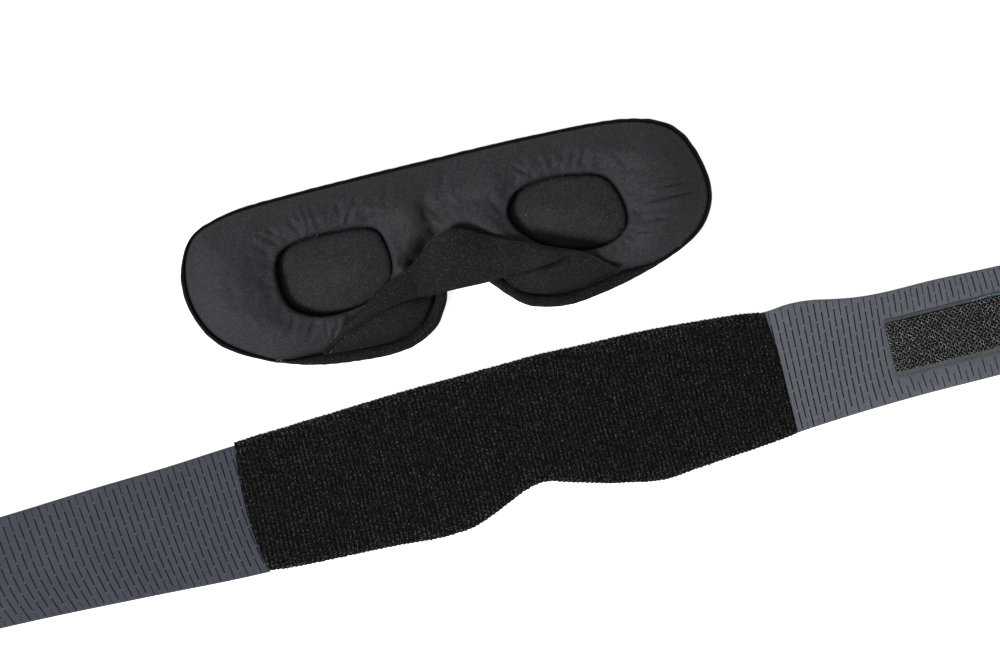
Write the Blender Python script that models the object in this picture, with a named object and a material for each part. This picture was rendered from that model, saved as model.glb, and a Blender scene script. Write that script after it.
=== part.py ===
"""Contoured sleep mask and the hook-and-loop headband that it presses onto.

Both lie face up beside each other. Metres, +Z up: +X runs along the headband
towards its hook tab, and +Y from the headband towards the mask. The origin is
under the middle of the loop panel, on the surface that both lie on.

Sizes below are millimetres. Each mesh is made in metres, with its origin on the
pivot of the body that it moves with.
"""

import math

import bmesh
import bpy
from mathutils import Vector

MM = 0.001
GAP = 0.3  # clear space between layers that touch
PARENT_GAP = 0.6  # from a hinge line to the piece that stays
CURVE_STEPS = 4  # samples from one outline point to the next

# Headband: a black loop panel with a tapering elastic strap on each side.
PANEL_TOP = [(-117, 28.3), (-80, 30), (-40, 31.9), (12, 33), (60, 32), (90, 30.2), (117, 28)]
PANEL_RIGHT = [(118.2, 8), (118.2, -12)]
PANEL_BOTTOM = [
    (117.4, -27.2),
    (84, -30),
    (56, -32.3),
    (38, -30),
    (20, -24),
    (7, -20.9),
    (-3, -22.4),
    (-15, -27.6),
    (-28, -32.4),
    (-38, -33.2),
    (-70, -31.7),
    (-116.4, -29.4),
]
PANEL_LEFT = [(-119.2, -12), (-119.4, 8)]
BACKING_THICKNESS = 1.2
INTERLINING_THICKNESS = 1.0
LOOP_THICKNESS = 1.1
LAYER_INSET = 1.5  # the panel's lower layers stop short of the loop fabric's edge

STRAP_THICKNESS = 2.4
# Where a strap's edges run: x, lower y, upper y.
STRAP_LEFT_EDGES = [(-120.5, -29.4, 26.6), (-170, -27.8, 23.8), (-212, -26.2, 21.8), (-300, -24.5, 19.5)]
STRAP_RIGHT_EDGES = [(119.6, -26.4, 27.6), (158, -24.3, 24.2), (208, -23.8, 22.7), (260, -23.2, 21.4)]
STRAP_CORNER = 9.0
LEFT_SEAM_X = -120.2
LEFT_BEND_X = -212.0
RIGHT_SEAM_X = 119.3
RIGHT_BEND_X = 158.0
STRAP_HINGE_Z = STRAP_THICKNESS + GAP

HOOK_TAPE = (165.0, 247.0, -15.3, 10.3)  # x from, x to, y from, y to
HOOK_FIELD = (166.4, 245.6, -11.6, 8.2)
TAPE_THICKNESS = 0.6
HOOK_HEIGHT = 1.3
LOOP_TAPE = (-292.0, -222.0, -15.0, 10.0)
LOOP_TAPE_THICKNESS = 0.7

# Mask: outlines are measured from the mask's own middle, which lies at MASK_AT.
MASK_AT = Vector((-9.0, 87.0))
MASK_OUTLINE = [
    (-72, 38.8),
    (0, 39.1),
    (62, 37.9),
    (92, 34.8),
    (108, 27),
    (115.6, 11),
    (116.2, -6),
    (107, -19.5),
    (84, -29.6),
    (58, -35.2),
    (42, -36),
    (27, -31.5),
    (15.5, -20.8),
    (9.5, -14),
    (3, -11.7),
    (-2.5, -14),
    (-6.4, -23.4),
    (-14, -32.8),
    (-27, -38),
    (-48, -37.8),
    (-70, -34.3),
    (-90, -26.8),
    (-106, -15.8),
    (-114, 0),
    (-114, 17),
    (-106, 31.3),
    (-92, 36.9),
]
EYE_LEFT = [(-74.4, 4), (-72, -8), (-62, -15), (-48, -16.2), (-35, -13.4), (-25.6, -6), (-24, 6), (-28, 16.2), (-44, 19.2), (-62, 18.8), (-71.6, 14.4)]
EYE_RIGHT = [(28.6, 8), (34, 16.2), (47, 19.4), (62, 18), (73.6, 14), (78.6, 4), (79, -7), (73, -13.4), (60, -15.8), (44, -11), (32.4, -1.6)]
RIM_INSET = 1.7  # from the mask's outer edge to its cushion, above and at the sides
BAND_WIDTH = 5.6  # the same below, where a soft band seals against the cheeks
BAND_FROM_Y = -18.0
BAND_FULL_Y = -27.0
TAB_THICKNESS = 1.2
BACK_BOTTOM = TAB_THICKNESS + GAP
BACK_TOP = BACK_BOTTOM + 1.2
FOAM_BOTTOM = BACK_TOP + GAP
FOAM_TOP = 10.5
COVER_TOP = 12.0
EYE_FLOOR_EDGE = 4.6
EYE_FLOOR_CROWN = 6.4
WELL_WALL = 0.9
RIM_TOP = 7.0
BAND_TOP = 5.6
WING_LEFT_X = -80.0
WING_RIGHT_X = 87.0
WING_HINGE_Z = COVER_TOP + GAP
TAB_SIZE = (44.0, 20.0)
TAB_CENTRES = {"hook_tab_left": (-50, 4), "hook_tab_right": (54, 4), "hook_tab_bridge": (2, 22)}
BRIDGE_TAB_SIZE = (34.0, 16.0)

# Nose flap: x, y of its sewn edge, y of its free edge, rise of the free edge.
FLAP_STATIONS = [
    (-60, -30.6, -29.6, 0.2),
    (-50, -31.6, -23.2, 1.6),
    (-38, -32.2, -14.8, 3.0),
    (-28, -31.6, -8.8, 4.2),
    (-20, -28.6, -4.6, 5.4),
    (-13, -18.4, -1.0, 6.6),
    (-4, -17.0, 5.4, 8.0),
    (5, -17.0, 7.4, 8.4),
    (14, -17.2, 4.0, 7.8),
    (22, -19.6, -0.8, 6.6),
    (30, -26.6, -4.6, 5.4),
    (42, -29.4, -9.9, 4.2),
    (54, -29.2, -15.2, 3.0),
    (64, -27.6, -21.6, 1.6),
    (68, -26.4, -25.4, 0.2),
]
FLAP_BOTTOM = COVER_TOP + 0.4
FLAP_THICKNESS = 1.5
FLAP_HINGE = (0.0, -33.8, COVER_TOP + 0.2)

FINISHES = {
    "loop_fabric": ((0.012, 0.012, 0.012), 0.95),
    "strap_fabric": ((0.075, 0.082, 0.105), 0.85),
    "backing_fabric": ((0.06, 0.066, 0.085), 0.9),
    "interlining": ((0.2, 0.2, 0.2), 0.95),
    "hook_tape": ((0.05, 0.05, 0.052), 0.7),
    "hook_plastic": ((0.012, 0.012, 0.013), 0.4),
    "face_satin": ((0.035, 0.034, 0.04), 0.6),
    "knit": ((0.018, 0.018, 0.018), 0.95),
    "foam": ((0.08, 0.08, 0.08), 0.95),
}


def clear_scene():
    for obj in list(bpy.data.objects):
        bpy.data.objects.remove(obj)


def make_materials():
    made = {}
    for name, (colour, roughness) in FINISHES.items():
        material = bpy.data.materials.new(name)
        material.use_nodes = True
        shader = material.node_tree.nodes["Principled BSDF"]
        shader.inputs["Base Color"].default_value = (*colour, 1.0)
        shader.inputs["Roughness"].default_value = roughness
        shader.inputs["Metallic"].default_value = 0.0
        made[name] = material
    return made


def make_pivot(name, place, parent=None):
    """An empty at a place in millimetres, for the pieces of one body."""
    pivot = bpy.data.objects.new(name, None)
    bpy.context.scene.collection.objects.link(pivot)
    pivot["place"] = list(place)
    start = Vector(parent["place"]) if parent else Vector((0, 0, 0))
    pivot.parent = parent
    pivot.location = (Vector(place) - start) * MM
    return pivot


def smooth_path(points, closed=False, steps=CURVE_STEPS):
    """A curve through the points, with steps samples from each one to the next."""
    points = [Vector(p) for p in points]
    count = len(points)

    def neighbours(i):
        if closed:
            return points[(i - 1) % count], points[(i + 1) % count]
        return points[max(i - 1, 0)], points[min(i + 1, count - 1)]

    def slope(i):
        before, after = neighbours(i)
        run = (points[i] - before).length + (after - points[i]).length
        return (after - before) / run

    path = []
    for i in range(count if closed else count - 1):
        a, b = points[i], points[(i + 1) % count]
        chord = (b - a).length
        slope_a, slope_b = slope(i) * chord, slope((i + 1) % count) * chord
        for k in range(steps):
            t = k / steps
            path.append(
                a * (2 * t**3 - 3 * t**2 + 1)
                + slope_a * (t**3 - 2 * t**2 + t)
                + b * (3 * t**2 - 2 * t**3)
                + slope_b * (t**3 - t**2)
            )
    if not closed:
        path.append(points[-1])
    return path


def offset_loop(loop, inset):
    """A clockwise loop moved inwards by inset millimetres, or by inset(point)."""
    moved = []
    for i, p in enumerate(loop):
        along = (loop[(i + 1) % len(loop)] - loop[i - 1]).normalized()
        inward = Vector((along.y, -along.x))
        moved.append(p + inward * (inset(p) if callable(inset) else inset))
    return moved


def clip_loop(loop, low, high):
    """The part of a loop with x from low to high."""
    for limit, keep in ((low, 1), (high, -1)):
        kept = []
        for i, p in enumerate(loop):
            q = loop[(i + 1) % len(loop)]
            inside = (p.x - limit) * keep >= 0
            if inside:
                kept.append(p)
            if inside != ((q.x - limit) * keep >= 0):
                kept.append(p.lerp(q, (limit - p.x) / (q.x - p.x)))
        loop = kept
    return loop


def rectangle(x0, x1, y0, y1):
    return [Vector(p) for p in ((x0, y1), (x1, y1), (x1, y0), (x0, y0))]


def loft(name, rings, material, pivot):
    """A closed solid through rings of points in millimetres, capped at both ends."""
    mesh = bpy.data.meshes.new(name)
    obj = bpy.data.objects.new(name, mesh)
    bpy.context.scene.collection.objects.link(obj)
    obj.parent = pivot
    origin = Vector(pivot["place"]) if pivot else Vector((0, 0, 0))
    build = bmesh.new()
    rows = [[build.verts.new((Vector(p) - origin) * MM) for p in ring] for ring in rings]
    for lower, upper in zip(rows, rows[1:]):
        for i in range(len(lower)):
            j = (i + 1) % len(lower)
            build.faces.new((lower[i], lower[j], upper[j], upper[i]))
    build.faces.new(rows[0])
    build.faces.new(rows[-1])
    bmesh.ops.recalc_face_normals(build, faces=build.faces)
    build.to_mesh(mesh)
    build.free()
    mesh.materials.append(material)
    mesh.shade_smooth()
    mesh.set_sharp_from_angle(angle=math.radians(40))
    return obj


def at_height(loop, z, centre=(0, 0)):
    return [(p.x + centre[0], p.y + centre[1], z) for p in loop]


def slab(name, loop, bottom, top, material, pivot, centre=(0, 0), rounding=0.0):
    """A flat piece with a loop's outline, its upper edge rounded off if asked."""
    rings = [at_height(loop, bottom, centre)]
    if rounding:
        rings.append(at_height(loop, top - rounding, centre))
        rings.append(at_height(offset_loop(loop, rounding), top, centre))
    else:
        rings.append(at_height(loop, top, centre))
    return loft(name, rings, material, pivot)


def cut(obj, cutter):
    """Cuts a hidden solid out of a piece."""
    cutter.hide_render = True
    cutter.display_type = "WIRE"
    modifier = obj.modifiers.new("Cut", "BOOLEAN")
    modifier.object = cutter
    modifier.operation = "DIFFERENCE"
    modifier.solver = "EXACT"


def build_panel(mats):
    loop = (
        smooth_path(PANEL_TOP)
        + [Vector(p) for p in PANEL_RIGHT]
        + smooth_path(PANEL_BOTTOM)
        + [Vector(p) for p in PANEL_LEFT]
    )
    inner = offset_loop(loop, LAYER_INSET)
    z = BACKING_THICKNESS
    slab("panel_backing", inner, 0, z, mats["backing_fabric"], None)
    bottom, z = z + GAP, z + GAP + INTERLINING_THICKNESS
    slab("panel_interlining", inner, bottom, z, mats["interlining"], None)
    bottom, z = z + GAP, z + GAP + LOOP_THICKNESS
    slab("loop_panel", loop, bottom, z, mats["loop_fabric"], None, rounding=0.4)


def strap_loop(edges, low, high, rounded_end=0):
    """A strap's outline from x low to x high. rounded_end is -1 or 1 where that end is free."""
    lower = smooth_path([(x, y) for x, y, _ in edges])
    upper = smooth_path([(x, y) for x, _, y in edges])
    if edges[0][0] > edges[-1][0]:
        lower.reverse()
        upper.reverse()
    if rounded_end:
        end = max(p.x for p in lower) if rounded_end > 0 else min(p.x for p in lower)
        inside = [p for p in upper if (end - p.x) * rounded_end > STRAP_CORNER]
        inside_low = [p for p in lower if (end - p.x) * rounded_end > STRAP_CORNER]
        y_low, y_high = edges[-1][1], edges[-1][2]
        arc = []
        for corner_y, start in ((y_high - STRAP_CORNER, 90), (y_low + STRAP_CORNER, 0)):
            for k in range(CURVE_STEPS + 1):
                angle = math.radians(start - 90 * k / CURVE_STEPS)
                x = end + rounded_end * STRAP_CORNER * (math.cos(angle) - 1)
                arc.append(Vector((x, corner_y + STRAP_CORNER * math.sin(angle))))
        if rounded_end > 0:
            loop = inside + arc + inside_low[::-1]
        else:
            loop = arc[::-1] + inside + inside_low[::-1]
    else:
        loop = upper + lower[::-1]
    return clip_loop(loop, low, high)


def strap(name, edges, low, high, mats, pivot, rounded_end=0):
    loop = strap_loop(edges, low, high, rounded_end)
    return slab(name, loop, 0, STRAP_THICKNESS, mats["strap_fabric"], pivot)


def build_straps(mats):
    left = make_pivot("strap_left_pivot", (LEFT_SEAM_X, 0, STRAP_HINGE_Z))
    left_tip = make_pivot("strap_left_tip_pivot", (LEFT_BEND_X, 0, STRAP_HINGE_Z), left)
    right = make_pivot("strap_right_pivot", (RIGHT_SEAM_X, 0, STRAP_HINGE_Z))
    tab = make_pivot("strap_tab_pivot", (RIGHT_BEND_X, 0, STRAP_HINGE_Z), right)
    strap("strap_left", STRAP_LEFT_EDGES, LEFT_BEND_X + PARENT_GAP, LEFT_SEAM_X - GAP, mats, left)
    tip = strap("strap_left_tip", STRAP_LEFT_EDGES, -300, LEFT_BEND_X - GAP, mats, left_tip, -1)
    strap("strap_right", STRAP_RIGHT_EDGES, RIGHT_SEAM_X + GAP, RIGHT_BEND_X - PARENT_GAP, mats, right)
    strap("strap_tab", STRAP_RIGHT_EDGES, RIGHT_BEND_X + GAP, 260, mats, tab, 1)

    tape_top = LOOP_TAPE_THICKNESS
    slab("loop_tape", rectangle(*LOOP_TAPE), 0, tape_top, mats["loop_fabric"], left_tip)
    x0, x1, y0, y1 = LOOP_TAPE
    pocket = rectangle(x0 - GAP, x1 + GAP, y0 - GAP, y1 + GAP)
    cut(tip, slab("loop_tape_pocket", pocket, -1, tape_top + GAP, mats["strap_fabric"], left_tip))

    base = STRAP_THICKNESS + GAP
    field = base + TAPE_THICKNESS + GAP
    slab("hook_tape", rectangle(*HOOK_TAPE), base, base + TAPE_THICKNESS, mats["hook_tape"], tab)
    slab("hook_field", rectangle(*HOOK_FIELD), field, field + HOOK_HEIGHT, mats["hook_plastic"], tab)


def cushion_inset(p):
    """How far the cushion's edge lies inside the mask's outer edge."""
    share = min(1.0, max(0.0, (BAND_FROM_Y - p.y) / (BAND_FROM_Y - BAND_FULL_Y)))
    at_ends = max(0.0, min(1.0, (abs(p.x) - 74.0) / 16.0))
    notch = max(0.0, 1.0 - abs(p.x - 3.0) / 14.0) if p.y > -26.0 and abs(p.x) < 20 else 0.0
    share = max(share * (1.0 - at_ends), notch)
    return RIM_INSET + (BAND_WIDTH - RIM_INSET) * share * share * (3 - 2 * share)


def run_of(loop, wanted):
    """The indices of the one unbroken run of a closed loop whose points are wanted."""
    count = len(loop)
    start = next(i for i in range(count) if wanted(loop[i]) and not wanted(loop[i - 1]))
    run = []
    while wanted(loop[(start + len(run)) % count]) and len(run) < count:
        run.append((start + len(run)) % count)
    return run


def edge_strip(name, outer, inner, wanted, top, material, pivot):
    """A stretch of the soft edge that fills the space between two loops."""
    rings = []
    for i in run_of(outer, wanted):
        a = Vector((*(outer[i] + MASK_AT), 0))
        b = Vector((*(inner[i] + MASK_AT), 0))
        crown = a.lerp(b, 0.5)
        rings.append(
            [
                (a.x, a.y, FOAM_BOTTOM),
                (a.x, a.y, top - 1.2),
                (crown.x, crown.y, top),
                (b.x, b.y, top - 0.8),
                (b.x, b.y, FOAM_BOTTOM),
            ]
        )
    return loft(name, rings, material, pivot)


def mask_layers(suffix, low, high, outer, cushion, mats, pivot):
    """The back cover, foam and face cover between two x positions. It returns the foam and the face cover."""
    back = clip_loop(offset_loop(outer, 1.0), low, high)
    soft = clip_loop(cushion, low, high)
    slab("back_cover" + suffix, back, BACK_BOTTOM, BACK_TOP, mats["knit"], pivot, MASK_AT)
    foam = slab("foam" + suffix, soft, FOAM_BOTTOM, FOAM_TOP, mats["foam"], pivot, MASK_AT)
    cover_from = FOAM_TOP + GAP
    cover = slab("face_cover" + suffix, soft, cover_from, COVER_TOP, mats["face_satin"], pivot, MASK_AT)
    return foam, cover


def build_eye(side, points, foam, cover, mats, pivot):
    """One eye well: its hole in the foam, the fabric wall that lines it and the pad at its floor."""
    inside = smooth_path(points, closed=True, steps=3)
    if sum(a.cross(b) for a, b in zip(inside, inside[1:] + inside[:1])) > 0:
        inside.reverse()
    hole = offset_loop(inside, -(WELL_WALL + GAP))
    for layer in (foam, cover):
        cutter = slab("eye_hole_" + side + "_" + layer.name, hole, 0, 20, mats["foam"], pivot, MASK_AT)
        cut(layer, cutter)
    wall_out = offset_loop(inside, -WELL_WALL)
    well = slab("eye_well_" + side, wall_out, FOAM_BOTTOM, COVER_TOP - 0.2, mats["knit"], pivot, MASK_AT)
    cut(well, slab("eye_bore_" + side, inside, 0, 20, mats["foam"], pivot, MASK_AT))
    pad = offset_loop(inside, GAP)
    rings = [
        at_height(pad, FOAM_BOTTOM, MASK_AT),
        at_height(pad, EYE_FLOOR_EDGE, MASK_AT),
        at_height(offset_loop(pad, 4.0), EYE_FLOOR_EDGE + 1.2, MASK_AT),
        at_height(offset_loop(pad, 9.0), EYE_FLOOR_CROWN, MASK_AT),
    ]
    loft("eye_floor_" + side, rings, mats["knit"], pivot)


def build_mask(mats):
    middle = (MASK_AT.x, MASK_AT.y, 0)
    mask = make_pivot("mask_pivot", middle)
    left = make_pivot("wing_left_pivot", (MASK_AT.x + WING_LEFT_X, MASK_AT.y, WING_HINGE_Z), mask)
    right = make_pivot("wing_right_pivot", (MASK_AT.x + WING_RIGHT_X, MASK_AT.y, WING_HINGE_Z), mask)
    outer = smooth_path(MASK_OUTLINE, closed=True)
    cushion = offset_loop(outer, cushion_inset)
    inner = offset_loop(outer, lambda p: cushion_inset(p) - GAP)
    body_from, body_to = WING_LEFT_X + PARENT_GAP, WING_RIGHT_X - PARENT_GAP
    left_to, right_from = WING_LEFT_X - GAP, WING_RIGHT_X + GAP

    foam, cover = mask_layers("", body_from, body_to, outer, cushion, mats, mask)
    mask_layers("_wing_left", -200, left_to, outer, cushion, mats, left)
    mask_layers("_wing_right", right_from, 200, outer, cushion, mats, right)
    build_eye("left", EYE_LEFT, foam, cover, mats, mask)
    build_eye("right", EYE_RIGHT, foam, cover, mats, mask)

    notch = min((p for p in outer if abs(p.x) < 12 and p.y < 0), key=lambda p: -p.y).x
    strips = [
        ("brow_binding", lambda p: p.y > 0 and body_from < p.x < body_to, RIM_TOP, mask),
        ("cheek_band_left", lambda p: p.y < 0 and body_from < p.x < notch - GAP, BAND_TOP, mask),
        ("cheek_band_right", lambda p: p.y < 0 and notch < p.x < body_to, BAND_TOP, mask),
        ("binding_wing_left", lambda p: p.x < left_to, RIM_TOP, left),
        ("binding_wing_right", lambda p: p.x > right_from, RIM_TOP, right),
    ]
    for name, wanted, top, pivot in strips:
        edge_strip(name, outer, inner, wanted, top, mats["knit"], pivot)

    for name, (x, y) in TAB_CENTRES.items():
        wide, high = BRIDGE_TAB_SIZE if name == "hook_tab_bridge" else TAB_SIZE
        loop = rectangle(x - wide / 2, x + wide / 2, y - high / 2, y + high / 2)
        slab(name, loop, 0, TAB_THICKNESS, mats["hook_tape"], mask, MASK_AT)
    return mask


def build_flap(mats, mask):
    """The nose flap: a cloth plate from its sewn edge on the lobes up to its free edge."""
    x, y, z = FLAP_HINGE
    pivot = make_pivot("nose_flap_pivot", (MASK_AT.x + x, MASK_AT.y + y, z), mask)
    rings = []
    for x, sewn_y, free_y, rise in FLAP_STATIONS:
        x, sewn_y, free_y = x + MASK_AT.x, sewn_y + MASK_AT.y, free_y + MASK_AT.y
        rings.append(
            [
                (x, sewn_y, FLAP_BOTTOM),
                (x, free_y, FLAP_BOTTOM + rise),
                (x, free_y, FLAP_BOTTOM + rise + FLAP_THICKNESS),
                (x, sewn_y, FLAP_BOTTOM + FLAP_THICKNESS),
            ]
        )
    loft("nose_flap", rings, mats["knit"], pivot)


def main():
    clear_scene()
    mats = make_materials()
    build_panel(mats)
    build_straps(mats)
    mask = build_mask(mats)
    build_flap(mats, mask)


main()
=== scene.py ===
"""Looks for a contoured sleep mask that lies beside its hook-and-loop headband.

Sizes are millimetres unless a name says otherwise. Headband points are measured from
the middle of the loop panel, and mask points from the mask's own middle.
"""

import logging
import math
import random
from collections.abc import Callable, Sequence
from dataclasses import dataclass, field
from enum import Enum

import bmesh
import bpy
import numpy as np
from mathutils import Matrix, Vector
from mathutils.geometry import delaunay_2d_cdt


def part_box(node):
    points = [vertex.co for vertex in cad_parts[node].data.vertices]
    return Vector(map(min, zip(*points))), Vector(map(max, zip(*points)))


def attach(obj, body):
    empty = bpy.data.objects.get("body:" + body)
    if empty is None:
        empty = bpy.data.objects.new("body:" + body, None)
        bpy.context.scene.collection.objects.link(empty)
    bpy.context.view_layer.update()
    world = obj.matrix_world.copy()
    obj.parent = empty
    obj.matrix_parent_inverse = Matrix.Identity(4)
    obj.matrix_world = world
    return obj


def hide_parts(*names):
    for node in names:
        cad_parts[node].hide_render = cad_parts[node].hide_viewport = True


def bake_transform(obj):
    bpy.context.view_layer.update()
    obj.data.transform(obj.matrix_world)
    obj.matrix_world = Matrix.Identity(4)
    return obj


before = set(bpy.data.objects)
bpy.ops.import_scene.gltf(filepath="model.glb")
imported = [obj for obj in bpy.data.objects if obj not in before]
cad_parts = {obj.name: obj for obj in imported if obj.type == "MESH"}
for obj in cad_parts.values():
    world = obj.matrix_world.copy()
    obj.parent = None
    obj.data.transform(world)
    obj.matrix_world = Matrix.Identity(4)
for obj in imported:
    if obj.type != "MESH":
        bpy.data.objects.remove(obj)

log = logging.getLogger("sleep_mask")
MM = 0.001
SHARP = math.radians(60)
WHITE = (1.0, 1.0, 1.0, 1.0)
PAINTED_LIGHT_ATTRIBUTE = "crest"
Colour = tuple[float, float, float]
Point = tuple[float, float]
Place = tuple[float, float, float]
Box = tuple[float, float, float, float]
Ring = list[int]
Array = np.ndarray
Object = bpy.types.Object
Socket = bpy.types.NodeSocket


# ---- small geometry


def smoothstep(low: float, high: float, x: Array) -> Array:
    """Eases from 0 at low to 1 at high.

    Args:
        low: where the result leaves 0.
        high: where it reaches 1. It may lie below low.
        x: the values to ease.

    Returns:
        An array from 0 to 1, shaped like x.
    """
    t = np.clip((np.asarray(x, float) - low) / (high - low), 0.0, 1.0)
    return t * t * (3.0 - 2.0 * t)


def bell(centre: float, width: float, x: Array) -> Array:
    """A bell curve, 1 at its centre and about a third at width from it."""
    return np.exp(-(((np.asarray(x, float) - centre) / width) ** 2))


def rounded(reach: Array | float, width: float) -> Array:
    """A quarter-round profile, 0 at an edge and 1 from width inside it."""
    return np.sqrt(1 - (1 - np.clip(reach / width, 0, 1)) ** 2)


def cubic(a: Array, b: Array, leave: Array, reach: Array, t: Array | float) -> Array:
    """Reads a cubic curve between two values.

    Args:
        a: the value at t = 0.
        b: the value at t = 1.
        leave: the slope at t = 0.
        reach: the slope at t = 1.
        t: where to read, from 0 to 1.

    Returns:
        The value at t.
    """
    return (
        a * (2 * t**3 - 3 * t**2 + 1)
        + leave * (t**3 - 2 * t**2 + t)
        + b * (3 * t**2 - 2 * t**3)
        + reach * (t**3 - t**2)
    )


def track(points: Sequence[Point], x: Array) -> Array:
    """Reads y at x off a curve given by a few points in order of x.

    Args:
        points: (x, y) pairs, with x increasing.
        x: where to read.

    Returns:
        A smooth curve's y at each x, held level outside the points.
    """
    px, py = np.array(points, float).T
    slope = np.gradient(py, px)
    x = np.clip(np.asarray(x, float), px[0], px[-1])
    i = np.clip(np.searchsorted(px, x) - 1, 0, len(px) - 2)
    span = px[i + 1] - px[i]
    return cubic(py[i], py[i + 1], slope[i] * span, slope[i + 1] * span, (x - px[i]) / span)


def smooth_loop(points: Sequence[Point], spacing: float) -> Array:
    """Runs a smooth closed curve through a few points, evenly sampled.

    Args:
        points: the corners that the curve passes, in order.
        spacing: the distance from one sample to the next.

    Returns:
        Samples as rows of x and y.
    """
    p = np.array(points, float)
    before, after = np.roll(p, 1, 0), np.roll(p, -1, 0)
    run = np.linalg.norm(p - before, axis=1) + np.linalg.norm(after - p, axis=1)
    slope = (after - before) / run[:, None]
    dense = []
    for i in range(len(p)):
        j = (i + 1) % len(p)
        chord = np.linalg.norm(p[j] - p[i])
        for t in np.linspace(0, 1, 24, endpoint=False):
            dense.append(cubic(p[i], p[j], slope[i] * chord, slope[j] * chord, t))
    return even(np.array(dense), spacing, closed=True)


def even(path: Array, spacing: float, closed: bool = False) -> Array:
    """Resamples a path at even steps.

    Args:
        path: rows of coordinates.
        spacing: the wanted step.
        closed: whether the path runs back to its start.

    Returns:
        The resampled rows, without a repeat of the first one on a closed path.
    """
    line = np.vstack([path, path[:1]]) if closed else path
    steps = np.linalg.norm(np.diff(line, axis=0), axis=1)
    along = np.concatenate([[0.0], np.cumsum(steps)])
    count = max(3, round(along[-1] / spacing))
    wanted = np.linspace(0.0, along[-1], count + 1)
    if closed:
        wanted = wanted[:-1]
    return np.stack([np.interp(wanted, along, line[:, k]) for k in range(line.shape[1])], axis=1)


def inward(loop: Array) -> Array:
    """Finds the way into a clockwise loop at each of its points.

    Args:
        loop: rows of x and y.

    Returns:
        Unit vectors as rows.
    """
    along = np.roll(loop, -1, 0) - np.roll(loop, 1, 0)
    along /= np.linalg.norm(along, axis=1)[:, None]
    return np.stack([along[:, 1], -along[:, 0]], axis=1)


def clockwise(loop: Array) -> Array:
    """Turns a loop round where it runs anticlockwise.

    Args:
        loop: rows of x and y.

    Returns:
        The same loop, running clockwise.
    """
    after = np.roll(loop, -1, 0)
    area = np.sum(loop[:, 0] * after[:, 1] - loop[:, 1] * after[:, 0])
    return loop[::-1].copy() if area > 0 else loop


def distance_to(loop: Array, points: Array, closed: bool = True) -> Array:
    """The distance from each point to the nearest spot on a loop.

    Args:
        loop: rows of x and y.
        points: rows of x and y.
        closed: whether the last point joins the first.

    Returns:
        One distance for each point.
    """
    a = loop if closed else loop[:-1]
    b = np.roll(loop, -1, 0) if closed else loop[1:]
    best = np.full(len(points), 1e9)
    for start, end in zip(a, b):
        run = end - start
        t = np.clip((points - start) @ run / max(run @ run, 1e-12), 0.0, 1.0)
        gap = points - start - t[:, None] * run
        best = np.minimum(best, np.einsum("ij,ij->i", gap, gap))
    return np.sqrt(best)


def inside(loop: Array, points: Array) -> Array:
    """Says which points lie inside a closed loop.

    Args:
        loop: rows of x and y.
        points: rows of x and y.

    Returns:
        True or False for each point.
    """
    x, y = points.T
    found = np.zeros(len(points), bool)
    for (x0, y0), (x1, y1) in zip(loop, np.roll(loop, -1, 0)):
        crosses = (y0 > y) != (y1 > y)
        if y0 != y1:
            found ^= crosses & (x < x0 + (y - y0) * (x1 - x0) / (y1 - y0))
    return found


def at_height(points: Array, z: float) -> Array:
    """Rows of x and y with the same z added to each."""
    return np.column_stack([points, np.full(len(points), z)])


def ripple(x: Array, y: Array, size: float, seed: int) -> Array:
    """Soft uneven waves, from about -1 to 1.

    Args:
        x: positions.
        y: positions.
        size: the length of a wave.
        seed: fixes the pattern.

    Returns:
        The height of the waves at each position.
    """
    draw = random.Random(seed)
    total = np.zeros(np.broadcast(x, y).shape)
    for _ in range(7):
        angle = draw.uniform(0, math.pi)
        pitch = size * draw.uniform(0.6, 1.7)
        phase = draw.uniform(0, 2 * math.pi)
        total = total + np.sin((x * math.cos(angle) + y * math.sin(angle)) * 2 * math.pi / pitch + phase)
    return total / 3.5


def add_object(name: str, data: bpy.types.ID) -> Object:
    """Puts new data into the scene as an object at the origin.

    Args:
        name: the object's name.
        data: its mesh, lamp or camera.

    Returns:
        The object.
    """
    made = bpy.data.objects.new(name, data)
    bpy.context.scene.collection.objects.link(made)
    return made


def make_piece(name: str, points: Array, faces: list, material: bpy.types.Material) -> Object:
    """Makes a smooth-shaded mesh object at the origin.

    Args:
        name: the piece's name.
        points: rows of x, y and z in millimetres, in the frame that all pieces share.
        faces: lists of row numbers.
        material: the piece's finish.

    Returns:
        The new object, with its normals facing out.
    """
    mesh = bpy.data.meshes.new(name)
    mesh.from_pydata((np.asarray(points, float) * MM).tolist(), [], [tuple(f) for f in faces])
    build = bmesh.new()
    build.from_mesh(mesh)
    bmesh.ops.recalc_face_normals(build, faces=build.faces)
    build.to_mesh(mesh)
    build.free()
    mesh.materials.append(material)
    mesh.shade_smooth()
    mesh.set_sharp_from_angle(angle=SHARP)
    return add_object(name, mesh)


def walls(levels: Sequence[Ring]) -> list:
    """Joins closed rings of one length, each to the next.

    Args:
        levels: for each ring, the numbers of its points.

    Returns:
        The faces.
    """
    faces = []
    for a, b in zip(levels, levels[1:]):
        count = len(a)
        faces += [(a[i], a[(i + 1) % count], b[(i + 1) % count], b[i]) for i in range(count)]
    return faces


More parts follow.
